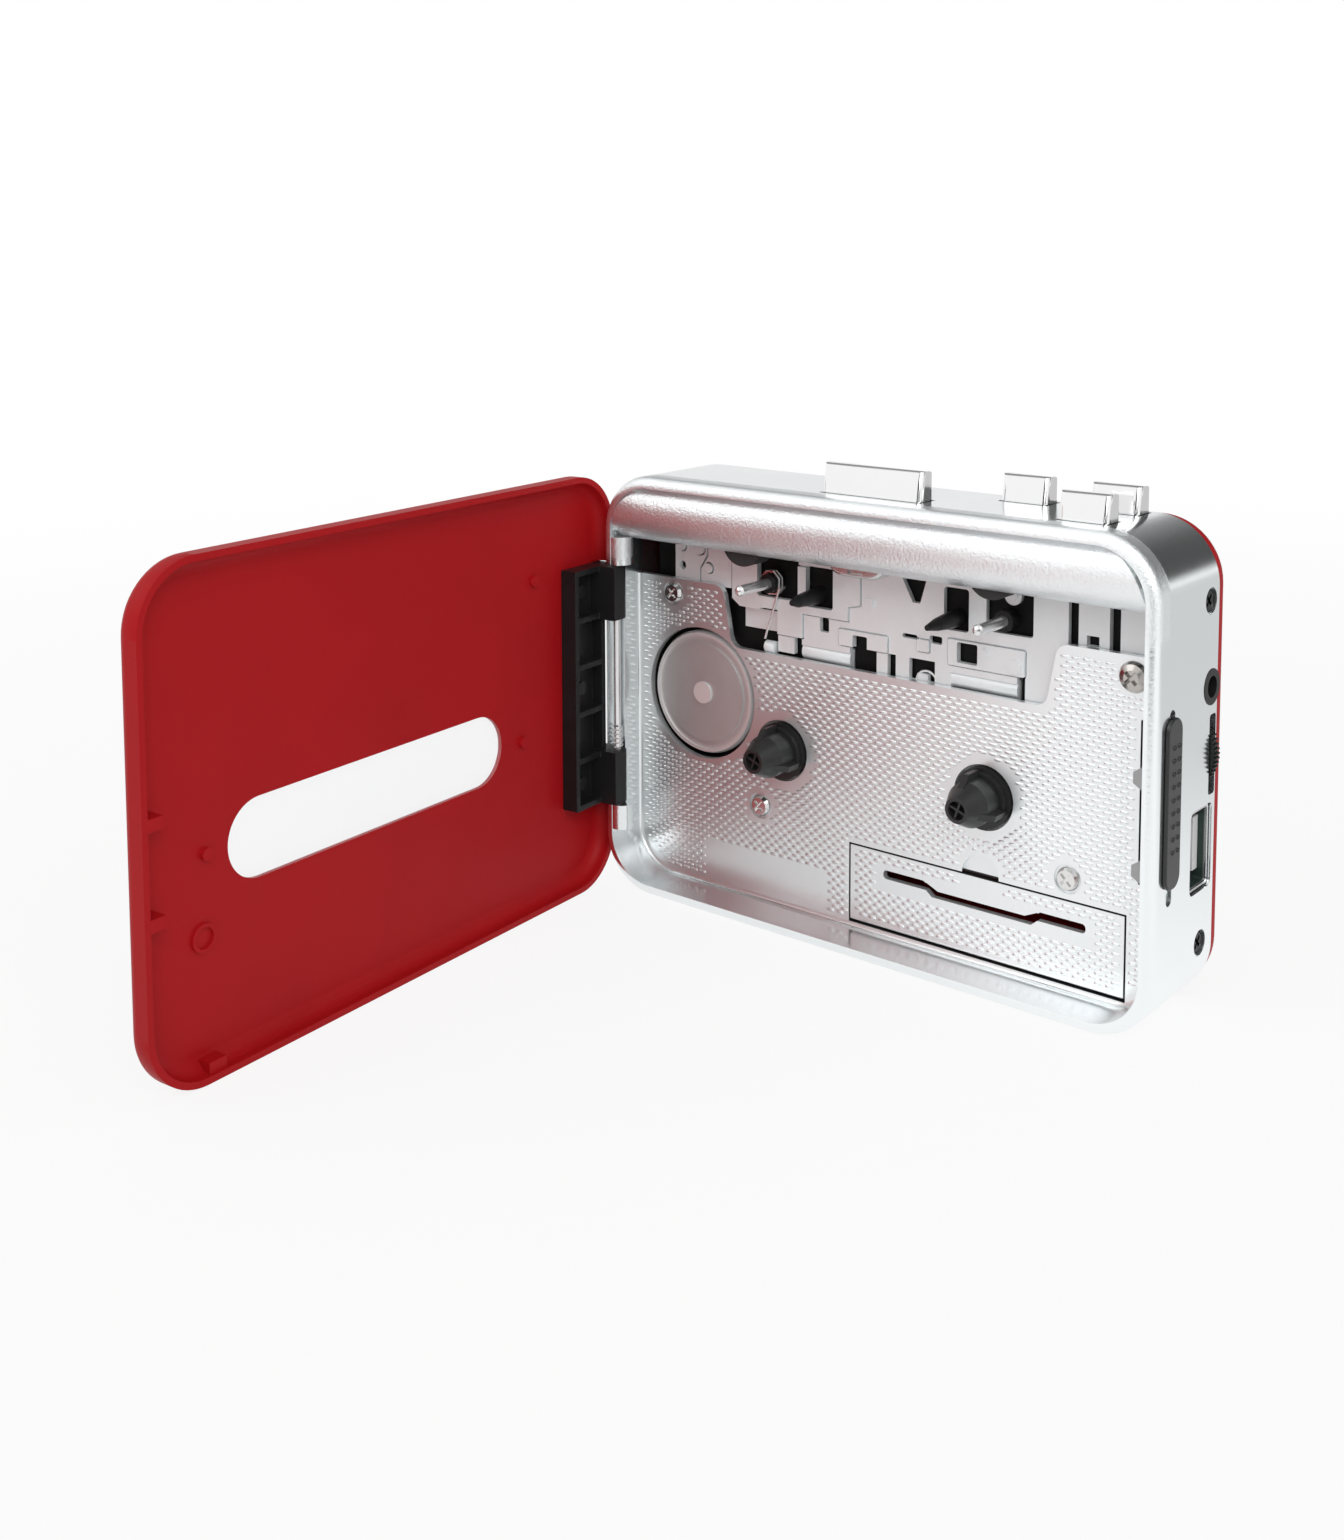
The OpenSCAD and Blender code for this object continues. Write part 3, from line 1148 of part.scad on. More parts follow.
// Spring round the left bushing, wound forward from the chassis to a straight leg in front of the plate
capstan_spring_r = (bushing_r + capstan_wire_r + 0.1) / cos(180 / rings_per_turn);
capstan_spring_pitch = 2 * capstan_wire_r + 0.5;
capstan_spring_back = chassis_front - capstan_wire_r - seat_gap;
leg_lean = 18;
leg_step = 2.6;
capstan_spring_points = concat(
    [for (i = [0:capstan_turns * rings_per_turn])
        let (turns = i / rings_per_turn, a = 360 * (capstan_turns - turns) - leg_lean)
        [capstan_left_x + capstan_spring_r * cos(a), capstan_spring_back - capstan_spring_pitch * turns,
            capstan_z + capstan_spring_r * sin(a)]],
    [for (k = [1:4])
        [capstan_left_x + capstan_spring_r * cos(leg_lean) - leg_step * k * sin(leg_lean),
            capstan_spring_back - capstan_spring_pitch * capstan_turns,
            capstan_z - capstan_spring_r * sin(leg_lean) - leg_step * k * cos(leg_lean)]]);
echo(str("capstan_spring least gap ", least_gap(capstan_spring_points, capstan_wire_r), " mm"));
module capstan_spring() color("gainsboro") in_case() wire(capstan_spring_points, capstan_wire_r, [0, 1, 0]);

// Reel hubs: flange, finned body, tapered nose with a crossed end bore
hub_tip = -0.3;
hub_shoulder = 3.4;
hub_fins = 3;
hub_fin_t = 1.2;
fin_front = 2;
module reel_hub(x) {
    difference() {
        union() {
            rod(x, reel_z, hub_flange_r, well_d - 0.4, panel_back - 0.4);
            rod(x, reel_z, hub_flange_r - 0.7, well_d - 1.4, panel_back - 0.4);
            rod(x, reel_z, hub_r, hub_shoulder, panel_back);
            rod(x, reel_z, hub_r - 0.9, well_d, head_back);
            taper(x, reel_z, hub_nose_r, hub_r, hub_tip, hub_shoulder);
            for (i = [0:hub_fins - 1]) translate([x, 0, reel_z]) rotate([0, 120 * i + 20, 0])
                translate([0, 0, -hub_fin_t / 2]) linear_extrude(hub_fin_t) polygon([[0, fin_front],
                    [hub_r - 0.6, fin_front], [hub_fin_r, fin_front + 2.4], [hub_fin_r, well_d - 1],
                    [0, well_d - 1]]);
        }
        rod(x, reel_z, reel_shaft_r + run_gap, fin_front, head_back + 1);
        rod(x, reel_z, hub_nose_r - 0.6, hub_tip - 1, hub_tip + 1.4);
    }
    for (turn = [20, 110]) translate([x, hub_tip + 0.9, reel_z]) rotate([0, turn, 0])
        cube([2 * hub_nose_r - 1.1, 1.2, 0.35], center = true);
}
module reel_hub_left() color("#2e2f31") in_case() reel_hub(reel_left_x);
module reel_hub_right() color("#2e2f31") in_case() reel_hub(reel_right_x);
module reel_gear(x) difference() {
    translate([x, 0, reel_z]) layer(head_front, head_back) toothed(reel_gear_r, 0.7, reel_teeth);
    rod(x, reel_z, hub_r - 0.9 + seat_gap, head_front - 1, head_back + 1);
}
module reel_gear_left() color("ivory") in_case() reel_gear(reel_left_x);
module reel_gear_right() color("ivory") in_case() reel_gear(reel_right_x);
module reel_shafts() color("whitesmoke") in_case() for (x = [reel_left_x, reel_right_x])
    rod(x, reel_z, reel_shaft_r, fin_front + 0.6, chassis_back);

// Motor with its end cap showing through the panel, and the belt round its pulley and the flywheels
motor_front = well_d + 0.5;
motor_back = belt_front - pulley_flange_t - slide_gap - 0.1;
cap_t = 0.8;
motor_shaft_r = 0.8;
module motor_can() color("#a9a6a4") in_case() difference() {
    rod(motor_x, motor_z, motor_can_r, motor_front + cap_t, motor_back);
    rod(motor_x, motor_z, motor_shaft_r + run_gap, motor_back - 4, motor_back + 1);
}
module motor_cap() color("#b5afac") in_case() {
    difference() {
        taper(motor_x, motor_z, motor_can_r - 0.4, motor_can_r, motor_front, motor_front + cap_t);
        difference() {
            rod(motor_x, motor_z, motor_can_r - 1, motor_front - 1, motor_front + 0.3);
            rod(motor_x, motor_z, motor_can_r - 2.4, motor_front - 2, motor_front + 1);
        }
    }
    rod(motor_x, motor_z, motor_boss_r, motor_front - 0.4, motor_front + 0.1);
}
module motor_pulley() color("#b08d57") in_case() {
    rod(motor_x, motor_z, motor_pulley_r, belt_front - 0.1, belt_back + 0.1);
    for (d = [belt_front - pulley_flange_t - 0.1, belt_back + 0.1])
        rod(motor_x, motor_z, motor_pulley_r + 0.8, d, d + pulley_flange_t);
    rod(motor_x, motor_z, motor_shaft_r, motor_back - 3.6, belt_front);
}

// Belt path: each pulley is place, height and radius, negative where the belt's outer side runs on it
belt_gap = 0.12;
belt_mid = belt_t / 2 + belt_gap;
belt_pulleys = [[motor_x, motor_z, motor_pulley_r + belt_mid],
    [capstan_right_x, capstan_z, flywheel_pulley_r + belt_mid],
    [capstan_left_x, capstan_z, -flywheel_pulley_r - belt_mid]];
function belt_run(a, b) = let (dx = b[0] - a[0], dz = b[1] - a[1])
    atan2(dz, dx) - asin((b[2] - a[2]) / norm([dx, dz]));
belt_arc_steps = 12;
function belt_arc(i, e) = let (p = belt_pulleys[i], before = belt_pulleys[(i + 2) % 3],
        after = belt_pulleys[(i + 1) % 3], from = belt_run(before, p), turn = belt_run(p, after) - from,
        sweep = p[2] > 0 ? (turn + 720) % 360 : -((720 - turn) % 360))
    [for (k = [0:belt_arc_steps]) let (a = from + sweep * k / belt_arc_steps)
        [p[0] + (p[2] + e) * sin(a), p[1] - (p[2] + e) * cos(a)]];
module belt_edge(e) polygon([for (i = [0:2]) each belt_arc(i, e)]);
module drive_belt() color("#1a1a1a") in_case() layer(belt_front, belt_back) difference() {
    belt_edge(belt_t / 2);
    belt_edge(-belt_t / 2);
}

// Volume wheel on its control, headphone jack and USB socket, all on the circuit board
module volume_wheel() color("#1c1c1c") in_case() difference() {
    translate([wheel_x, 0, wheel_z]) layer(wheel_d0, wheel_d0 + wheel_t) toothed(wheel_r, 0.4, wheel_ridges);
    rod(wheel_x, wheel_z, 1.5 + run_gap, wheel_d0 - 1, wheel_d0 + wheel_t + 1);
}
control_r = inner_x - wheel_x - slide_gap;
module volume_control() color("#4a4a4a") in_case() {
    rod(wheel_x, wheel_z, control_r, wheel_d0 + wheel_t + slide_gap, board_front);
    rod(wheel_x, wheel_z, 1.5, wheel_d0 - 0.3, board_front);
    rod(wheel_x, wheel_z, 2.4, wheel_d0 - 1, wheel_d0 - slide_gap);
}
module headphone_jack() color("#161616") in_case() difference() {
    union() {
        block(inner_x - seat_gap - jack_len, inner_x - seat_gap, jack_d - 3, board_front,
            jack_z - jack_half, jack_z + jack_half);
        facing_right() rod(jack_d, jack_z, jack_ring_r, -0.1, shell_wall + 1);
    }
    facing_right() rod(jack_d, jack_z, jack_r, -1, jack_len - 1);
}
usb_shell_t = 0.4;
usb_floor = 3;
module usb_outline(inset) {
    rounded_rect(usb_d - usb_w / 2 + inset, usb_d + usb_w / 2 - inset,
        usb_z - usb_h / 2 + inset, usb_z + usb_h / 2 - inset, 0.9 - inset / 2);
}
module usb_socket() color("gainsboro") in_case() {
    facing_right() difference() {
        layer(0.5, usb_len) usb_outline(slide_gap);
        layer(0, usb_len - usb_floor) usb_outline(slide_gap + usb_shell_t);
    }
    block(side_x - usb_len, side_x - usb_len + usb_floor, usb_d, board_front, usb_z - 3, usb_z + 3);
}
module usb_tongue() color("white") in_case() facing_right() {
    for (d = [usb_d - 2.7, usb_d + 1.4]) layer(2, usb_len - usb_floor)
        translate([d, usb_z - 4.5]) square([1.9, 9]);
}
board_left = inner_x - 34.8;
board_top = jack_z + 5.7;
module circuit_board() color("darkgreen") in_case()
    block(board_left, inner_x - 1, board_front, board_back, bay_top + bay_wall + 1, board_top);

module panel_screws() color("gainsboro") in_case() translate([0, well_d + 0.5, 0]) for (s = panel_screw_at)
    screw(s[0], s[1], screw_head_r, 1.1, screw_r, chassis_back - well_d - 0.5);
module dome_screw() color("whitesmoke") in_case() translate([dome_at[0], well_d, dome_at[1]]) difference() {
    union() {
        taper(0, 0, dome_r * 0.5, dome_r * 0.84, -1.7, -1.2);
        taper(0, 0, dome_r * 0.84, dome_r, -1.2, -0.5);
        rod(0, 0, dome_r, -0.5, 0);
        rod(0, 0, screw_r, -0.1, panel_t + 2.4);
    }
    for (turn = [45, 135]) translate([0, -1.7, 0]) rotate([0, turn, 0])
        cube([dome_r, 1.8, dome_r * 0.25], center = true);
}
module side_screws() color("gainsboro") in_case() facing_right() for (s = side_screw_at)
    translate([0, side_screw_sink, 0])
        screw(s[0], s[1], screw_head_r, 0.8, screw_r, shell_wall + lug_w - 0.5 - side_screw_sink);

shell_top();
shell_bottom();
shell_left();
shell_right();
well_panel();
rear_cover();
cassette_door();
door_window();
hinge_bracket();
bracket_screws();
hinge_pin();
hinge_spring();
battery_lid();
battery_contacts();
open_slider();
latch_plate();
play_key();
stop_key();
forward_key();
rewind_key();
mechanism_chassis();
side_strips();
head_plate();
tape_head();
pinch_arms();
pinch_roller_left();
pinch_roller_right();
capstan_bushings();
capstan_left();
capstan_right();
flywheel_left();
flywheel_right();
thrust_plate();
guide_pins();
capstan_spring();
reel_hub_left();
reel_hub_right();
reel_gear_left();
reel_gear_right();
reel_shafts();
motor_can();
motor_cap();
motor_pulley();
drive_belt();
volume_wheel();
volume_control();
headphone_jack();
usb_socket();
usb_tongue();
circuit_board();
panel_screws();
dome_screw();
side_screws();
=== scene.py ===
"""Looks of a portable cassette player that stands with its door open.

Lengths are metres, unless a name or a comment says mm.
"""
import json
import math

import bpy
import numpy as np
from mathutils import Matrix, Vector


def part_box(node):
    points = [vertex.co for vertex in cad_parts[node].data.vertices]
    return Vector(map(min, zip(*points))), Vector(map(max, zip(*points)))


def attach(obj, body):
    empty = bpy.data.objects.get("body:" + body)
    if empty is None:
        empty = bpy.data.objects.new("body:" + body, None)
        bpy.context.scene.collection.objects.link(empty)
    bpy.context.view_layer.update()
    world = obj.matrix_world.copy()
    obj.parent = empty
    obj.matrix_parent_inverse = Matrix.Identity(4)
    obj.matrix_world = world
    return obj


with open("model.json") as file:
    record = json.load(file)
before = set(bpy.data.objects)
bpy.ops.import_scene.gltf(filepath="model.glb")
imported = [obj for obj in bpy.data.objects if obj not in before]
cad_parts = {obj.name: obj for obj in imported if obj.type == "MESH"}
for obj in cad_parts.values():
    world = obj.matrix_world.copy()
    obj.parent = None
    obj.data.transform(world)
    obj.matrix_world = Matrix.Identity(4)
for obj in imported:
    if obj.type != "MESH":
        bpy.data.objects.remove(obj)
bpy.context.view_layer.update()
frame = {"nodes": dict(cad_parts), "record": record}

scene = bpy.context.scene
MM = 0.001

# Camera: place in mm, aim in degrees, focal length and optical centre in pixels of the picture
PICTURE_H = 1540
FOCAL_PX = 1775
CENTRE_ROW = 380
CAMERA_AT_MM = (169.7, -265.5, 130.3)
YAW, PITCH, ROLL = (math.radians(a) for a in (39.66, 5.23, -0.18))
SENSOR_MM = 36
CLIP = (0.01, 50)


def make_camera():
    """Camera whose columns are right, up and back; roll turns right and down about the line of sight."""
    forward = np.array([-math.sin(YAW) * math.cos(PITCH), math.cos(YAW) * math.cos(PITCH), -math.sin(PITCH)])
    right = np.array([math.cos(YAW), math.sin(YAW), 0])
    down = np.cross(forward, right)
    turn, lean = math.cos(ROLL), math.sin(ROLL)
    rolled_right = turn * right - lean * down
    rolled_down = lean * right + turn * down
    place = np.eye(4)
    place[:3, 0], place[:3, 1], place[:3, 2] = rolled_right, -rolled_down, -forward
    place[:3, 3] = np.array(CAMERA_AT_MM) * MM
    data = bpy.data.cameras.new("camera")
    data.sensor_width = SENSOR_MM
    data.lens = FOCAL_PX * SENSOR_MM / PICTURE_H
    data.shift_y = (CENTRE_ROW - PICTURE_H / 2) / PICTURE_H
    data.clip_start, data.clip_end = CLIP
    camera = bpy.data.objects.new("camera", data)
    camera.matrix_world = Matrix(place.tolist())
    scene.collection.objects.link(camera)
    scene.camera = camera


make_camera()
scene.view_settings.view_transform = "Standard"


def sign(operation, swapped=False):
    """Method that joins a wire and another value by a Math node; swapped gives the reflected form."""
    def method(wire, other):
        first, second = (other, wire) if swapped else (wire, other)
        return wire.board.maths(operation, first, second)
    return method


class Wire:
    """A socket of a node; sums on it add Math nodes to its tree."""

    def __init__(self, board, socket):
        self.board, self.socket = board, socket

    __add__, __radd__ = sign("ADD"), sign("ADD", True)
    __sub__, __rsub__ = sign("SUBTRACT"), sign("SUBTRACT", True)
    __mul__, __rmul__ = sign("MULTIPLY"), sign("MULTIPLY", True)
    __truediv__, __rtruediv__ = sign("DIVIDE"), sign("DIVIDE", True)
    __pow__, __rpow__ = sign("POWER"), sign("POWER", True)

    def beside(self, *keys):
        """Wires of other outputs of the same node."""
        return [Wire(self.board, self.socket.node.outputs[key]) for key in keys]


# Outputs of a Texture Coordinate node: the place on an object, and the way out into the surroundings
PLACE, WAY = 3, 0


class Board:
    """The node tree of one finish."""

    def __init__(self, tree):
        self.tree = tree
        tree.nodes.clear()

    def node(self, kind, settings=None, inputs=None, out=0):
        """Adds a node: settings first, then values or links of its sockets; gives the wire of one output."""
        new = self.tree.nodes.new(kind)
        for name, value in (settings or {}).items():
            setattr(new, name, value)
        for key, value in (inputs or {}).items():
            if isinstance(value, Wire):
                self.tree.links.new(value.socket, new.inputs[key])
            else:
                new.inputs[key].default_value = value
        return Wire(self, new.outputs[out]) if len(new.outputs) else None

    def maths(self, operation, *values):
        """One Math node on one or two values."""
        return self.node("ShaderNodeMath", {"operation": operation}, dict(enumerate(values)))

    def axes(self, out=PLACE):
        """X, Y and Z of the Object coordinates, or of another output of that node, as three wires."""
        spot = self.node("ShaderNodeTexCoord", out=out)
        return self.node("ShaderNodeSeparateXYZ", None, {0: spot}).beside(0, 1, 2)

    def rays(self):
        """Three wires that are 1 for a ray from the camera, off a gloss and through a clear piece."""
        path = self.node("ShaderNodeLightPath")
        return path.beside("Is Camera Ray", "Is Glossy Ray", "Is Transmission Ray")

    def reach(self, centre_mm):
        """Distance in the panel's plane from a place in mm: the root of across squared plus up squared."""
        x, _, z = self.axes()
        across, up = x - centre_mm[0] * MM, z - centre_mm[1] * MM
        return (across * across + up * up) ** 0.5

    def noise(self, scale, detail, rough, stretch=(1, 1, 1)):
        """Noise on the Object coordinates, drawn out along each axis whose stretch is below 1."""
        spot = self.node("ShaderNodeTexCoord", out=PLACE)
        spot = self.node("ShaderNodeMapping", None, {"Vector": spot, "Scale": stretch})
        return self.node("ShaderNodeTexNoise", None,
                         {"Vector": spot, "Scale": scale, "Detail": detail, "Roughness": rough})

    def step(self, value, low, high):
        """Smooth rise from 0 at low to 1 at high."""
        return self.node("ShaderNodeMapRange", {"interpolation_type": "SMOOTHSTEP"},
                         {"Value": value, "From Min": low, "From Max": high})

    def between(self, value, low, high, soft):
        """1 inside low to high, falling to 0 over soft on both sides."""
        return self.step(value, low - soft, low) * (1 - self.step(value, high, high + soft))

    def past(self, place, limits_mm):
        """Smooth rise from 0 to 1 between two places in mm."""
        return self.step(place, limits_mm[0] * MM, limits_mm[1] * MM)

    def before(self, place, limits_mm):
        """Smooth fall from 1 to 0 between two places in mm."""
        return 1 - self.past(place, limits_mm)

    def within(self, place, limits_mm, soft_mm):
        """1 between two places in mm, falling to 0 over soft on both sides."""
        return self.between(place, limits_mm[0] * MM, limits_mm[1] * MM, soft_mm * MM)

    def mix(self, amount, first, second):
        """Colour mixed from first to second."""
        return self.node("ShaderNodeMix", {"data_type": "RGBA"}, {0: amount, 6: first, 7: second}, out=2)

    def bump(self, height, strength, depth_mm):
        """Normal tilted by a height that stands for a depth in mm."""
        return self.node("ShaderNodeBump", None,
                         {"Height": height, "Strength": strength, "Distance": depth_mm * MM})


def grey(level, tint=(1, 1, 1)):
    """Opaque grey of one level, times a tint."""
    return (level * tint[0], level * tint[1], level * tint[2], 1)


# Colours of the finishes, with some painted light and shade among them
COOL, WARM = (0.965, 1, 1.01), (1, 0.99, 0.97)
WHITE = grey(1.0)
# SILVER_LIT is painted light and SILVER_SHADED is painted shade on the silver
SILVER_DULL, SILVER, SILVER_LIT, SILVER_SHADED = (grey(level, COOL) for level in (0.85, 0.92, 1.0, 0.3))
LID_GAP_SHADE = grey(0.01)
RED_DEEP, RED, RED_RUBBED = (0.36, 0.006, 0.009, 1), (0.45, 0.009, 0.012, 1), (0.52, 0.06, 0.06, 1)
PANE_COOL = (0.93, 0.97, 1, 1)
BLACK, SOOT = grey(0.008), grey(0.02, (1, 1, 1.1))
PLATE_DULL, PLATE_BRIGHT = grey(0.86, COOL), grey(0.97, COOL)
BRASS_DARK, BRASS = (0.5, 0.34, 0.12, 1), (0.62, 0.44, 0.18, 1)
HOOK_GREY = grey(0.16)
MOTOR_DULL, MOTOR_LIGHT = (0.52, 0.52, 0.52, 1), (0.64, 0.635, 0.63, 1)
SCREW_DULL, SCREW_BRIGHT = grey(0.7), grey(0.85, WARM)
# Screw tones painted as shade: the domed head and the sunk heads in the right side
DOME_SHADE_BROWN, SIDE_SCREW_SHADE = (0.3, 0.26, 0.22, 1), grey(0.03)
SOCKET_DULL, SOCKET_BRIGHT, SOCKET_DEEP_SHADE = grey(0.62), grey(0.78), (0.035, 0.06, 0.05, 1)
LACQUER, TRACK = (0.01, 0.07, 0.03, 1), (0.02, 0.12, 0.05, 1)

# Where a finish changes, in mm: a change starts at the first number of a pair and is full at the second
BROW_Z, BROW_Y, RIM_FRONT_Y, TOP_Z = (64, 66), (-9.4, -8.8), (-12.6, -12.0), (81.1, 81.4)
PANEL_SPAN, PANEL_CORNER = (54.4, 54.6), (48.7, 48.9)
PANEL_NEAR_Y, PANEL_FAR_Y = (-6.2, -5.6), (-4.0, -3.4)
LIT_X, PANEL_SHADE_X = (0, 45), (-40, 26)
HOOK_X, SIDE_SCREW_X, SOCKET_MOUTH_X = (51.2, 51.6), (53.0, 53.4), (55.9, 56.4)
BOSS_R, MOTOR_RIM_R = (2.0, 2.2), (10.0, 11.2)
DOME_R, DOME_Y = (3.0, 3.2), (-5.4, -4.9)

# Extents in mm, with how softly they end: the panel's height, and the frames that the lid's gap, painted as
# shade, lies between
PANEL_Z, PANEL_SOFT = (2.5, 75), 0.2
GAP_Y, GAP_SOFT = (-4.74, -3.2), 0.1
GAP_OUTER_X, GAP_OUTER_Z = (-5.6, 49.3), (2.4, 18.1)
GAP_INNER_X, GAP_INNER_Z = (-4.4, 48.1), (3.3, 17.1)

# Middles in mm, as x and z
motor_low, motor_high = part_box("motor_cap")
MOTOR_AT = ((motor_low.x + motor_high.x) / 2 / MM, (motor_low.z + motor_high.z) / 2 / MM)
DOME_AT = (49.4, 57.2)


def silver(board):
    """Metallised skin: blasted grain on the brow and the rim's front, satin panel, faint haze; painted light
    brightens the right, painted shade darkens the panel's left and the top.

    The gap round the battery lid is painted black as shade: it lies inside one frame and outside a smaller one.
    """
    x, y, z = board.axes()
    brow = board.past(z, BROW_Z) * board.before(y, BROW_Y)
    front = board.before(y, RIM_FRONT_Y)
    span = board.maths("ABSOLUTE", x)
    off_corner = board.before(span - z, PANEL_CORNER)
    inside = board.before(span, PANEL_SPAN) * board.within(z, PANEL_Z, PANEL_SOFT) * off_corner
    panel = inside * board.past(y, PANEL_NEAR_Y) * board.before(y, PANEL_FAR_Y)
    outer = board.within(x, GAP_OUTER_X, GAP_SOFT) * board.within(z, GAP_OUTER_Z, GAP_SOFT)
    inner = board.within(x, GAP_INNER_X, GAP_SOFT) * board.within(z, GAP_INNER_Z, GAP_SOFT)
    gap = board.within(y, GAP_Y, GAP_SOFT) * outer * (1 - inner)
    grain = board.noise(scale=1700, detail=3, rough=0.7)
    haze = board.noise(scale=55, detail=3, rough=0.6)
    scuff = board.noise(scale=420, detail=4, rough=0.7, stretch=(1, 1, 0.2))
    rough = 0.13 + 0.08 * haze + 0.13 * brow + 0.05 * front + 0.13 * panel + 0.05 * scuff
    tone = board.mix(haze, SILVER_DULL, SILVER)
    # Painted light: the colour brightens towards the right
    tone = board.mix(0.8 * board.past(x, LIT_X), tone, SILVER_LIT)
    # Painted shade: the panel darkens towards its left, and the top face is darkened
    shade = panel * board.before(x, PANEL_SHADE_X) + 0.45 * board.past(z, TOP_Z)
    skin = board.mix(0.34 * shade, tone, SILVER_SHADED)
    blasted = grain * (0.06 + 0.94 * brow + 0.4 * front)
    # Painted shade: the lid's gap is coloured black, with no metal and more roughness
    return {"Base Color": board.mix(gap, skin, LID_GAP_SHADE), "Roughness": rough + 0.4 * gap,
            "Metallic": (0.97 - 0.25 * panel - 0.12 * brow) * (1 - gap),
            "Normal": board.bump(blasted, strength=0.9, depth_mm=0.11)}


def red(board):
    """Satin red moulding: cloudy depth of colour, fine grain, a few pale rubs."""
    cloud = board.noise(scale=38, detail=3, rough=0.55)
    grain = board.noise(scale=2600, detail=2, rough=0.6)
    rub = board.step(board.noise(scale=160, detail=6, rough=0.75, stretch=(1, 1, 0.35)), low=0.66, high=0.8)
    body = board.mix(cloud, RED_DEEP, RED)
    return {"Base Color": board.mix(0.12 * rub, body, RED_RUBBED),
            "Roughness": 0.34 + 0.16 * cloud + 0.08 * rub,
            "Normal": board.bump(grain, strength=0.12, depth_mm=0.05)}


def pane(board):
    """Clear moulding with a cool cast and faint smears."""
    smear = board.noise(scale=90, detail=3, rough=0.5)
    return {"Base Color": board.mix(smear, PANE_COOL, WHITE), "Roughness": 0.03 + 0.05 * smear}


def moulded(dark, light, rough, grain_scale=2400, lift=0.2):
    """Moulded plastic: colour drifts between two tones, with fine grain and rubbed patches."""
    def build(board):
        drift = board.noise(scale=120, detail=4, rough=0.6)
        grain = board.noise(scale=grain_scale, detail=3, rough=0.6)
        return {"Base Color": board.mix(drift, dark, light), "Roughness": rough + 0.18 * drift,
                "Normal": board.bump(grain, lift, depth_mm=0.06)}
    return build


def metal(dark, light, rough, stretch=(1, 1, 1), lift=0.12):
    """Metal: tone drifts between two colours, with rolling or turning marks stretched along one way."""
    def build(board):
        drift = board.noise(scale=150, detail=4, rough=0.6)
        marks = board.noise(scale=1500, detail=3, rough=0.65, stretch=stretch)
        return {"Base Color": board.mix(drift, dark, light),
                "Roughness": rough + 0.12 * drift + 0.08 * marks,
                "Normal": board.bump(marks, lift, depth_mm=0.04)}
    return build


def duller_hooks(build):
    """The same metal, with its far right end, where the latch hooks are, in a duller grey."""
    def changed(board):
        sockets = build(board)
        hook = board.past(board.axes()[0], HOOK_X)
        sockets["Base Color"] = board.mix(0.7 * hook, sockets["Base Color"], HOOK_GREY)
        return sockets
    return changed


def motor_face(board):
    """Turned steel end of the motor: rings about the motor's middle, satin tone, a paler boss, and a rim painted
    paler as a highlight.
    """
    reach = board.reach(MOTOR_AT)
    rings = board.node("ShaderNodeTexNoise", {"noise_dimensions": "1D"},
                       {"W": reach, "Scale": 5200, "Detail": 3})
    drift = board.noise(scale=130, detail=3, rough=0.6)
    disc = board.mix(drift, MOTOR_DULL, MOTOR_LIGHT)
    # Paler boss, and a painted highlight on the rim
    pale_boss_rim_sheen = board.before(reach, BOSS_R) + 0.5 * board.past(reach, MOTOR_RIM_R)
    return {"Base Color": board.mix(pale_boss_rim_sheen, disc, WHITE), "Roughness": 0.3 + 0.12 * drift + 0.1 * rings,
            "Normal": board.bump(rings, strength=0.1, depth_mm=0.04)}


def screw_face(board):
    """Screw steel of drifting tone: the sunk heads in the right side are painted black as shade, and the domed
    head is painted duller and browner as shade and dark reflection.
    """
    x, y, _ = board.axes()
    drift = board.noise(scale=150, detail=4, rough=0.6)
    side = board.past(x, SIDE_SCREW_X)
    dome = board.before(board.reach(DOME_AT), DOME_R) * board.before(y, DOME_Y)
    # Painted shade and dark reflection: the domed head is darkened towards brown
    tone = board.mix(0.6 * dome, board.mix(drift, SCREW_DULL, SCREW_BRIGHT), DOME_SHADE_BROWN)
    # Painted shade: the sunk side heads are coloured black
    return {"Base Color": board.mix(side, tone, SIDE_SCREW_SHADE),
            "Roughness": 0.14 + 0.14 * drift + 0.2 * side}


def socket_skin(board):
    """Folded socket steel: bright at the mouth, and further in dark as painted shade and greenish."""
    drift = board.noise(scale=150, detail=4, rough=0.6)
    # Painted shade: darker and greenish deeper into the socket
    inner_shade = board.before(board.axes()[0], SOCKET_MOUTH_X)
    tone = board.mix(drift, SOCKET_DULL, SOCKET_BRIGHT)
    return {"Base Color": board.mix(inner_shade, tone, SOCKET_DEEP_SHADE), "Roughness": 0.16 + 0.14 * drift + 0.3 * inner_shade,
            "Metallic": 1 - 0.6 * inner_shade}


def board_green(board):
    """Printed board: green lacquer with faint tracks."""
    pattern = board.noise(scale=700, detail=1, rough=0.3, stretch=(1, 1, 0.15))
    tracks = board.step(pattern, low=0.52, high=0.56)
    return {"Base Color": board.mix(tracks, LACQUER, TRACK), "Roughness": 0.3 + 0.15 * tracks}


def finish(name, build, fixed):
    """Material of one shader; build gives the sockets that change over the surface, fixed the others."""
    material = bpy.data.materials.new(name)
    material.use_nodes = True
    board = Board(material.node_tree)
    shader = board.node("ShaderNodeBsdfPrincipled", None, {**fixed, **build(board)})
    board.node("ShaderNodeOutputMaterial", None, {"Surface": shader})
    return material


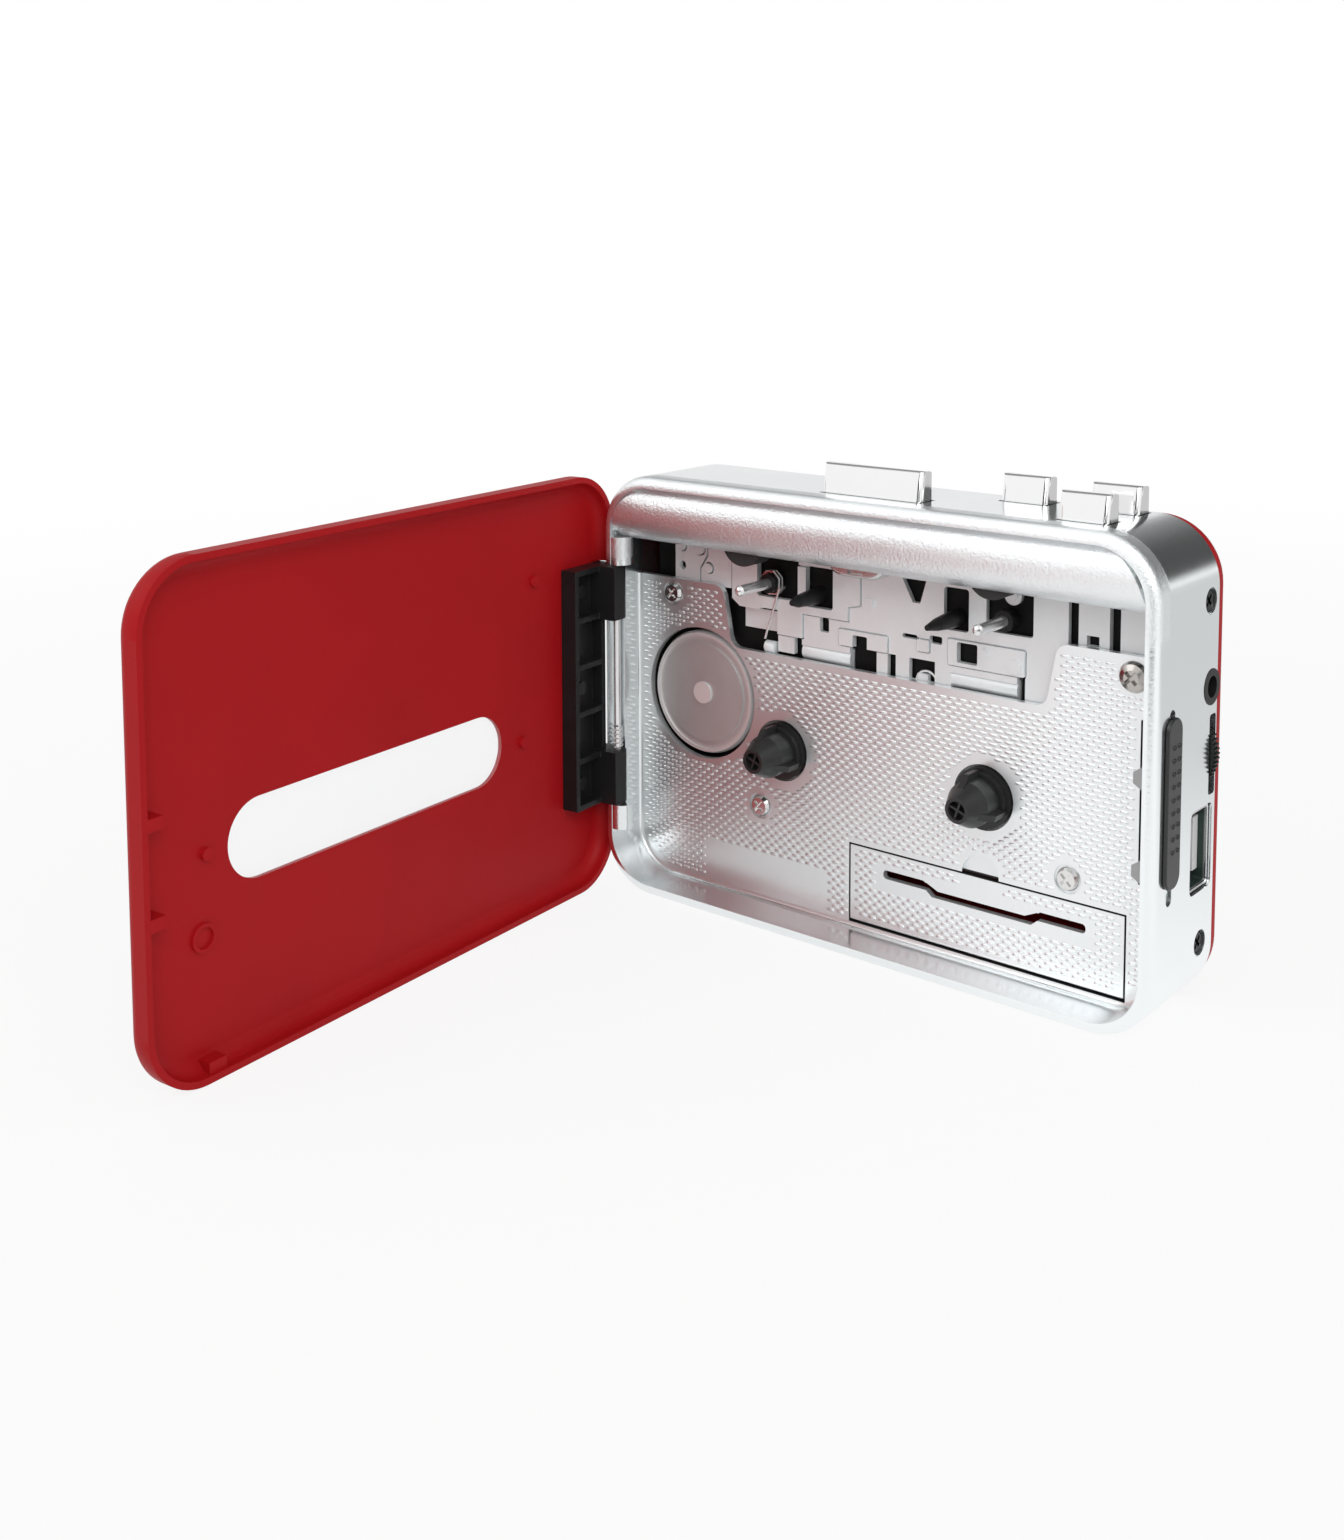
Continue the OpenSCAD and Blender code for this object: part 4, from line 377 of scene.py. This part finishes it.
# How each slot's finish is built, and the sockets that are the same all over it
GLOSS = "Specular IOR Level"
ALONG_X, ALONG_Z = (0.1, 1, 1), (1, 1, 0.1)
RECIPES = {
    "silver_case": (silver, {}),
    "red_case": (red, {GLOSS: 0.12}),
    "clear_pane": (pane, {"Alpha": 0.08, GLOSS: 0.5}),
    "black_plastic": (moulded(BLACK, SOOT, 0.3), {GLOSS: 0.25}),
    "grey_plastic": (moulded(grey(0.014), grey(0.03), 0.24), {GLOSS: 0.45}),
    "dark_chassis": (moulded(grey(0.003), grey(0.008), 0.5), {GLOSS: 0.15}),
    "dark_screws": (metal(grey(0.02), grey(0.06), 0.3), {"Metallic": 0.7}),
    "bright_steel": (duller_hooks(metal(grey(0.78), grey(0.9), 0.13, ALONG_Z, lift=0.05)), {"Metallic": 0.8}),
    "plate_steel": (metal(PLATE_DULL, PLATE_BRIGHT, 0.36, stretch=(0.15, 1, 1), lift=0.1), {"Metallic": 0.3}),
    "screw_steel": (screw_face, {"Metallic": 1.0}),
    "chrome_key": (metal(grey(0.88), grey(0.93), 0.01, lift=0.02), {"Metallic": 1.0}),
    "head_metal": (metal(grey(0.5), grey(0.65), 0.18, ALONG_X), {"Metallic": 1.0}),
    "motor_steel": (motor_face, {"Metallic": 0.55}),
    "roller_rubber": (moulded(grey(0.015), grey(0.04), 0.6, grain_scale=1800, lift=0.3), {}),
    "drive_brass": (metal(BRASS_DARK, BRASS, 0.18), {"Metallic": 1.0}),
    "white_plastic": (moulded(grey(0.68), grey(0.8), 0.35), {}),
    "socket_steel": (socket_skin, {}),
    "green_board": (board_green, {}),
}
FINISHES = {name: finish(name, *recipe) for name, recipe in RECIPES.items()}

slot_of = {part["node"]: part["material_slot"] for part in frame["record"]["subparts"]}
for name, node in frame["nodes"].items():
    for held in node.material_slots:
        held.material = FINISHES[slot_of[name]]

WELD_WITHIN = 1e-6
SHARP_ANGLE = math.radians(40)


def soften(names, width_mm, segments):
    """Rounds the sharp edges of the named nodes by a small bevel."""
    for name in names:
        node = frame["nodes"][name]
        node.modifiers.new("weld", "WELD").merge_threshold = WELD_WITHIN
        bevel = node.modifiers.new("bevel", "BEVEL")
        bevel.width, bevel.segments = width_mm * MM, segments
        bevel.limit_method, bevel.angle_limit = "ANGLE", SHARP_ANGLE
        bevel.harden_normals = True


soften(("play_key", "stop_key", "forward_key", "rewind_key"), width_mm=0.4, segments=3)
soften(("cassette_door", "hinge_bracket", "open_slider"), width_mm=0.2, segments=2)
soften(("head_plate", "side_strips", "pinch_arms"), width_mm=0.1, segments=1)


def add_piece(name, points_mm, faces, body, slot):
    """Smooth mesh of points in mm and faces that rides on a body and takes the finish of a slot."""
    mesh = bpy.data.meshes.new(name)
    mesh.from_pydata((points_mm * MM).tolist(), [], faces)
    mesh.polygons.foreach_set("use_smooth", np.ones(len(faces), bool))
    mesh.materials.append(FINISHES[slot])
    piece = bpy.data.objects.new(name, mesh)
    scene.collection.objects.link(piece)
    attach(piece, body)


# Raised pills on the panel and the battery lid, in mm: rows run across, each row set off by half a pitch
PILL_PITCH, PILL_ROW = 2.0, 0.825
PILL_LONG, PILL_HIGH, PILL_PROUD, PILL_SUNK = 1.56, 0.62, 0.15, 0.02
PILL_SHOULDER, PILL_DRAWN_IN = 0.85, (0.86, 0.66)
PILL_SIDES = 12
PANEL_Y = -4.9

# The field of pills and what it keeps clear of, in mm
FIELD_X, FIELD_Z = (-53.4, 53.4), (3.9, 61.0)
WINDOW_X, WINDOW_Z = (-60, -35.3, -33.0, 34.8, 36.9, 60), (59.8, 59.8, 48.4, 48.4, 59.4, 59.4)
WELL_SIDE, WELL_FLOOR, WELL_CORNER, CORNER_CLEAR = 54.8, 2.2, 9.6, 1.6
TAPE_X, REEL_OFF, REEL_Z = 1.0, 21.25, 31.7
REEL_AT = ((TAPE_X - REEL_OFF, REEL_Z), (TAPE_X + REEL_OFF, REEL_Z))
SCREW_AT = ((-46.2, 58.0), (-25.1, 20.2), (38.2, 21.2))
MOTOR_CLEAR, REEL_CLEAR, SCREW_CLEAR, DOME_CLEAR = 13.6, 7.4, 3.7, 3.3
LID_X, LID_Z, LID_CLEAR = (-4.7, 48.4), (3.0, 17.4), 1.1
LID_SIDE, LID_FOOT, LID_HEAD = 1.1, 1.3, 0.8
LID_SLOT_X, LID_SLOT_Z, LID_SLOT_CLEAR = (1.4, 42.4), (11.4, 14.7), 0.9
THUMB_AT, THUMB_CLEAR, THUMB_RIM = (21.9, 17.4), 4.3, 0.5
BARE_X, BARE_Z, BARE_CLEAR = (-38.0, -10.0), (3.0, 10.5), 0.4

# The slit behind the latch hooks, shown by a dark sheet of painted shade, in mm
SLIT_X, SLIT_Z, SLIT_CLEAR = (50.55, 51.1), (23.3, 50.4), 0.9
SLIT_PROUD, SLIT_THICK, SLIT_SIDES = 0.03, 0.05, 32


def lattice(x0, x1, z0, z1):
    """Centres of staggered rows between the given limits, as an array of (x, z) in mm."""
    columns = np.arange(math.floor(x0 / PILL_PITCH), math.ceil(x1 / PILL_PITCH) + 1)
    rows = np.arange(math.floor(z0 / PILL_ROW), math.ceil(z1 / PILL_ROW) + 1)
    column, row = np.meshgrid(columns, rows)
    x = (column + 0.5 * (row % 2)) * PILL_PITCH
    z = row * PILL_ROW
    spots = np.stack([x.ravel(), z.ravel()], 1)
    inside = (spots[:, 0] > x0) & (spots[:, 0] < x1) & (spots[:, 1] > z0) & (spots[:, 1] < z1)
    return spots[inside]


def off_disc(spots, centre, radius):
    """True where a spot is further than radius from a centre."""
    return np.hypot(spots[:, 0] - centre[0], spots[:, 1] - centre[1]) > radius


def off_box(spots, across, up, margin):
    """True where a spot is outside a box that is widened by a margin."""
    x, z = spots[:, 0], spots[:, 1]
    beside = (x > across[0] - margin) & (x < across[1] + margin)
    return ~(beside & (z > up[0] - margin) & (z < up[1] + margin))


def panel_spots():
    """Pill centres on the fixed panel: the lattice less the window, corners, discs, lid, slit and bare patch."""
    spots = lattice(*FIELD_X, *FIELD_Z)
    keep = spots[:, 1] < np.interp(spots[:, 0], WINDOW_X, WINDOW_Z)
    corner_x, corner_z = WELL_SIDE - WELL_CORNER, WELL_FLOOR + WELL_CORNER
    for side in (-1, 1):
        low = (spots[:, 1] < corner_z) & (side * spots[:, 0] > corner_x)
        near = np.hypot(side * spots[:, 0] - corner_x, spots[:, 1] - corner_z) < WELL_CORNER - CORNER_CLEAR
        keep &= ~low | near
    discs = [(MOTOR_AT, MOTOR_CLEAR), (DOME_AT, DOME_CLEAR), (THUMB_AT, THUMB_CLEAR + THUMB_RIM)]
    discs += [(at, REEL_CLEAR) for at in REEL_AT] + [(at, SCREW_CLEAR) for at in SCREW_AT]
    for at, clear in discs:
        keep &= off_disc(spots, at, clear)
    keep &= off_box(spots, LID_X, LID_Z, LID_CLEAR) & off_box(spots, BARE_X, BARE_Z, BARE_CLEAR)
    keep &= off_box(spots, SLIT_X, SLIT_Z, SLIT_CLEAR)
    return spots[keep]


def lid_spots():
    """Pill centres on the battery lid: the lattice less the slot and the thumb recess."""
    spots = lattice(LID_X[0] + LID_SIDE, LID_X[1] - LID_SIDE, LID_Z[0] + LID_FOOT, LID_Z[1] - LID_HEAD)
    keep = off_box(spots, LID_SLOT_X, LID_SLOT_Z, LID_SLOT_CLEAR) & off_disc(spots, THUMB_AT, THUMB_CLEAR)
    return spots[keep]


def ring_of(sides):
    """Numbers of a ring's points, and of the next point after each."""
    here = np.arange(sides)
    return here, (here + 1) % sides


def pill_field(name, spots, body):
    """Mounds: a stadium outline at the panel, drawn in and raised at the shoulder, closed at the crown."""
    turn = np.arange(PILL_SIDES) * 2 * np.pi / PILL_SIDES
    end = PILL_HIGH / 2
    straight = (PILL_LONG - PILL_HIGH) / 2
    side = np.sign(np.round(np.cos(turn), 6))
    outline = np.stack([end * np.cos(turn) + straight * side, end * np.sin(turn)], 1)
    drawn = np.concatenate([outline, outline * PILL_DRAWN_IN, [[0, 0]]])
    heights, counts = (-PILL_SUNK, PILL_SHOULDER * PILL_PROUD, PILL_PROUD), (PILL_SIDES, PILL_SIDES, 1)
    one = np.stack([drawn[:, 0], -np.repeat(heights, counts), drawn[:, 1]], 1)
    at = np.stack([spots[:, 0], np.full(len(spots), PANEL_Y), spots[:, 1]], 1)
    points = one[None] + at[:, None]
    a, b = ring_of(PILL_SIDES)
    c, d = a + PILL_SIDES, b + PILL_SIDES
    crown = np.full(PILL_SIDES, 2 * PILL_SIDES)
    ring = np.concatenate([np.stack(corners, 1) for corners in ((a, b, d), (a, d, c), (c, d, crown))])
    faces = ring[None] + (np.arange(len(spots)) * len(one))[:, None, None]
    add_piece(name, points.reshape(-1, 3), faces.reshape(-1, 3).tolist(), body, "silver_case")


def slit_shade_sheet():
    """Painted shade of the slit behind the latch hooks: a dark sheet, a long stadium, flat, a hair proud of the
    panel.
    """
    turn = np.linspace(0, 2 * np.pi, SLIT_SIDES, endpoint=False)
    end = (SLIT_X[1] - SLIT_X[0]) / 2
    half = (SLIT_Z[1] - SLIT_Z[0]) / 2 - end
    x = (SLIT_X[0] + SLIT_X[1]) / 2 + end * np.cos(turn)
    z = (SLIT_Z[0] + SLIT_Z[1]) / 2 + end * np.sin(turn) + half * np.where(np.sin(turn) >= 0, 1, -1)
    front = np.stack([x, np.full(SLIT_SIDES, PANEL_Y - SLIT_PROUD), z], 1)
    back = front + [0, SLIT_THICK, 0]
    a, b = ring_of(SLIT_SIDES)
    walls = np.stack([a, a + SLIT_SIDES, b + SLIT_SIDES, b], 1).tolist()
    add_piece("slit_shade_sheet", np.concatenate([front, back]), walls + [a[::-1].tolist()], "case", "dark_chassis")


pill_field("panel_pills", panel_spots(), "case")
slit_shade_sheet()
pill_field("lid_pills", lid_spots(), "lid")

# Studio: pale floor, soft lamps, pale surroundings. Mirrors see a dark gap in front, told by its bearing.
FLOOR_HALF = 6.0
GAP_BEARING, BEARING_SOFT, LEAST_AHEAD = (0.3, 1.5), 0.06, 0.05


def dark_gap(board, x, y, start, full):
    """Mask of the gap: x over the way ahead lies between two bearings; it sets in from start to full ahead."""
    ahead = 0 - y
    bearing = x / board.maths("MAXIMUM", ahead, LEAST_AHEAD)
    return board.between(bearing, *GAP_BEARING, BEARING_SOFT) * board.step(ahead, start, full)


def make_floor():
    """Wide flat sheet; near the object it takes the shadow, further out it melts into the surroundings."""
    mesh = bpy.data.meshes.new("floor")
    corners = [(x * FLOOR_HALF, y * FLOOR_HALF, 0) for x, y in ((-1, -1), (1, -1), (1, 1), (-1, 1))]
    mesh.from_pydata(corners, [], [(0, 1, 2, 3)])
    floor = bpy.data.objects.new("floor", mesh)
    scene.collection.objects.link(floor)
    material = bpy.data.materials.new("floor")
    material.use_nodes = True
    board = Board(material.node_tree)
    x, y, _ = board.axes()
    camera, glossy, through = board.rays()
    shown = board.maths("MAXIMUM", board.maths("MAXIMUM", camera, glossy), through)
    behind = glossy * board.step(y, 0.0, 0.15) * board.step(x, -0.05, 0.15)
    gap = glossy * dark_gap(board, x, y, start=0.2, full=0.3)
    tone = board.mix(gap, board.mix(behind, WHITE, grey(0.62)), grey(0.03))
    far = board.step((x * x + y * y) ** 0.5, 0.15, 0.6)
    paper = board.node("ShaderNodeBsdfDiffuse", None, {"Color": grey(0.86)})
    glow = board.node("ShaderNodeEmission", None, {"Color": tone, "Strength": 1.0})
    surface = board.node("ShaderNodeMixShader", None, {0: shown * (0.87 + 0.13 * far), 1: paper, 2: glow})
    board.node("ShaderNodeOutputMaterial", None, {"Surface": surface})
    mesh.materials.append(material)


def make_world():
    """Pale all round; mirrors see a darker ceiling behind and the gap in front; its light is at a lower level."""
    world = bpy.data.worlds.new("studio")
    world.use_nodes = True
    scene.world = world
    board = Board(world.node_tree)
    x, y, z = board.axes(WAY)
    camera, glossy, through = board.rays()
    dark = board.step(z, 0.02, 0.14) * board.step(y, 0.2, 0.6) * board.step(x, -0.5, 0.25)
    high = board.between(z, 0.34, 0.7, soft=0.1) * board.step(y, 0.25, 0.45)
    gap = dark_gap(board, x, y, start=0.1, full=0.2) * (1 - board.step(z, 0.3, 0.5))
    mirror = board.mix(dark, board.mix(high, WHITE, grey(0.3)), grey(0.05))
    ambient = board.mix(glossy, grey(0.55), board.mix(gap, mirror, grey(0.02)))
    colour = board.mix(board.maths("MAXIMUM", camera, through), ambient, WHITE)
    surface = board.node("ShaderNodeBackground", None, {"Color": colour, "Strength": 1.0})
    board.node("ShaderNodeOutputWorld", None, {"Surface": surface})


def make_lamp(name, at, aim, size, watts):
    """Square soft lamp at a place, turned to face a point."""
    data = bpy.data.lights.new(name, "AREA")
    data.shape, data.size, data.energy = "SQUARE", size, watts
    lamp = bpy.data.objects.new(name, data)
    back = np.array(at, float) - np.array(aim, float)
    back /= np.linalg.norm(back)
    side = np.cross((0, 0, 1), back)
    side /= np.linalg.norm(side)
    place = np.eye(4)
    place[:3, 0], place[:3, 1], place[:3, 2], place[:3, 3] = side, np.cross(back, side), back, at
    lamp.matrix_world = Matrix(place.tolist())
    scene.collection.objects.link(lamp)


make_floor()
make_world()
MIDDLE = (0, -0.03, 0.04)
make_lamp("key_lamp", (0.75, -0.6, 0.75), MIDDLE, size=0.7, watts=5.0)
make_lamp("fill_lamp", (-0.62, -0.8, 0.85), MIDDLE, size=0.8, watts=2.0)
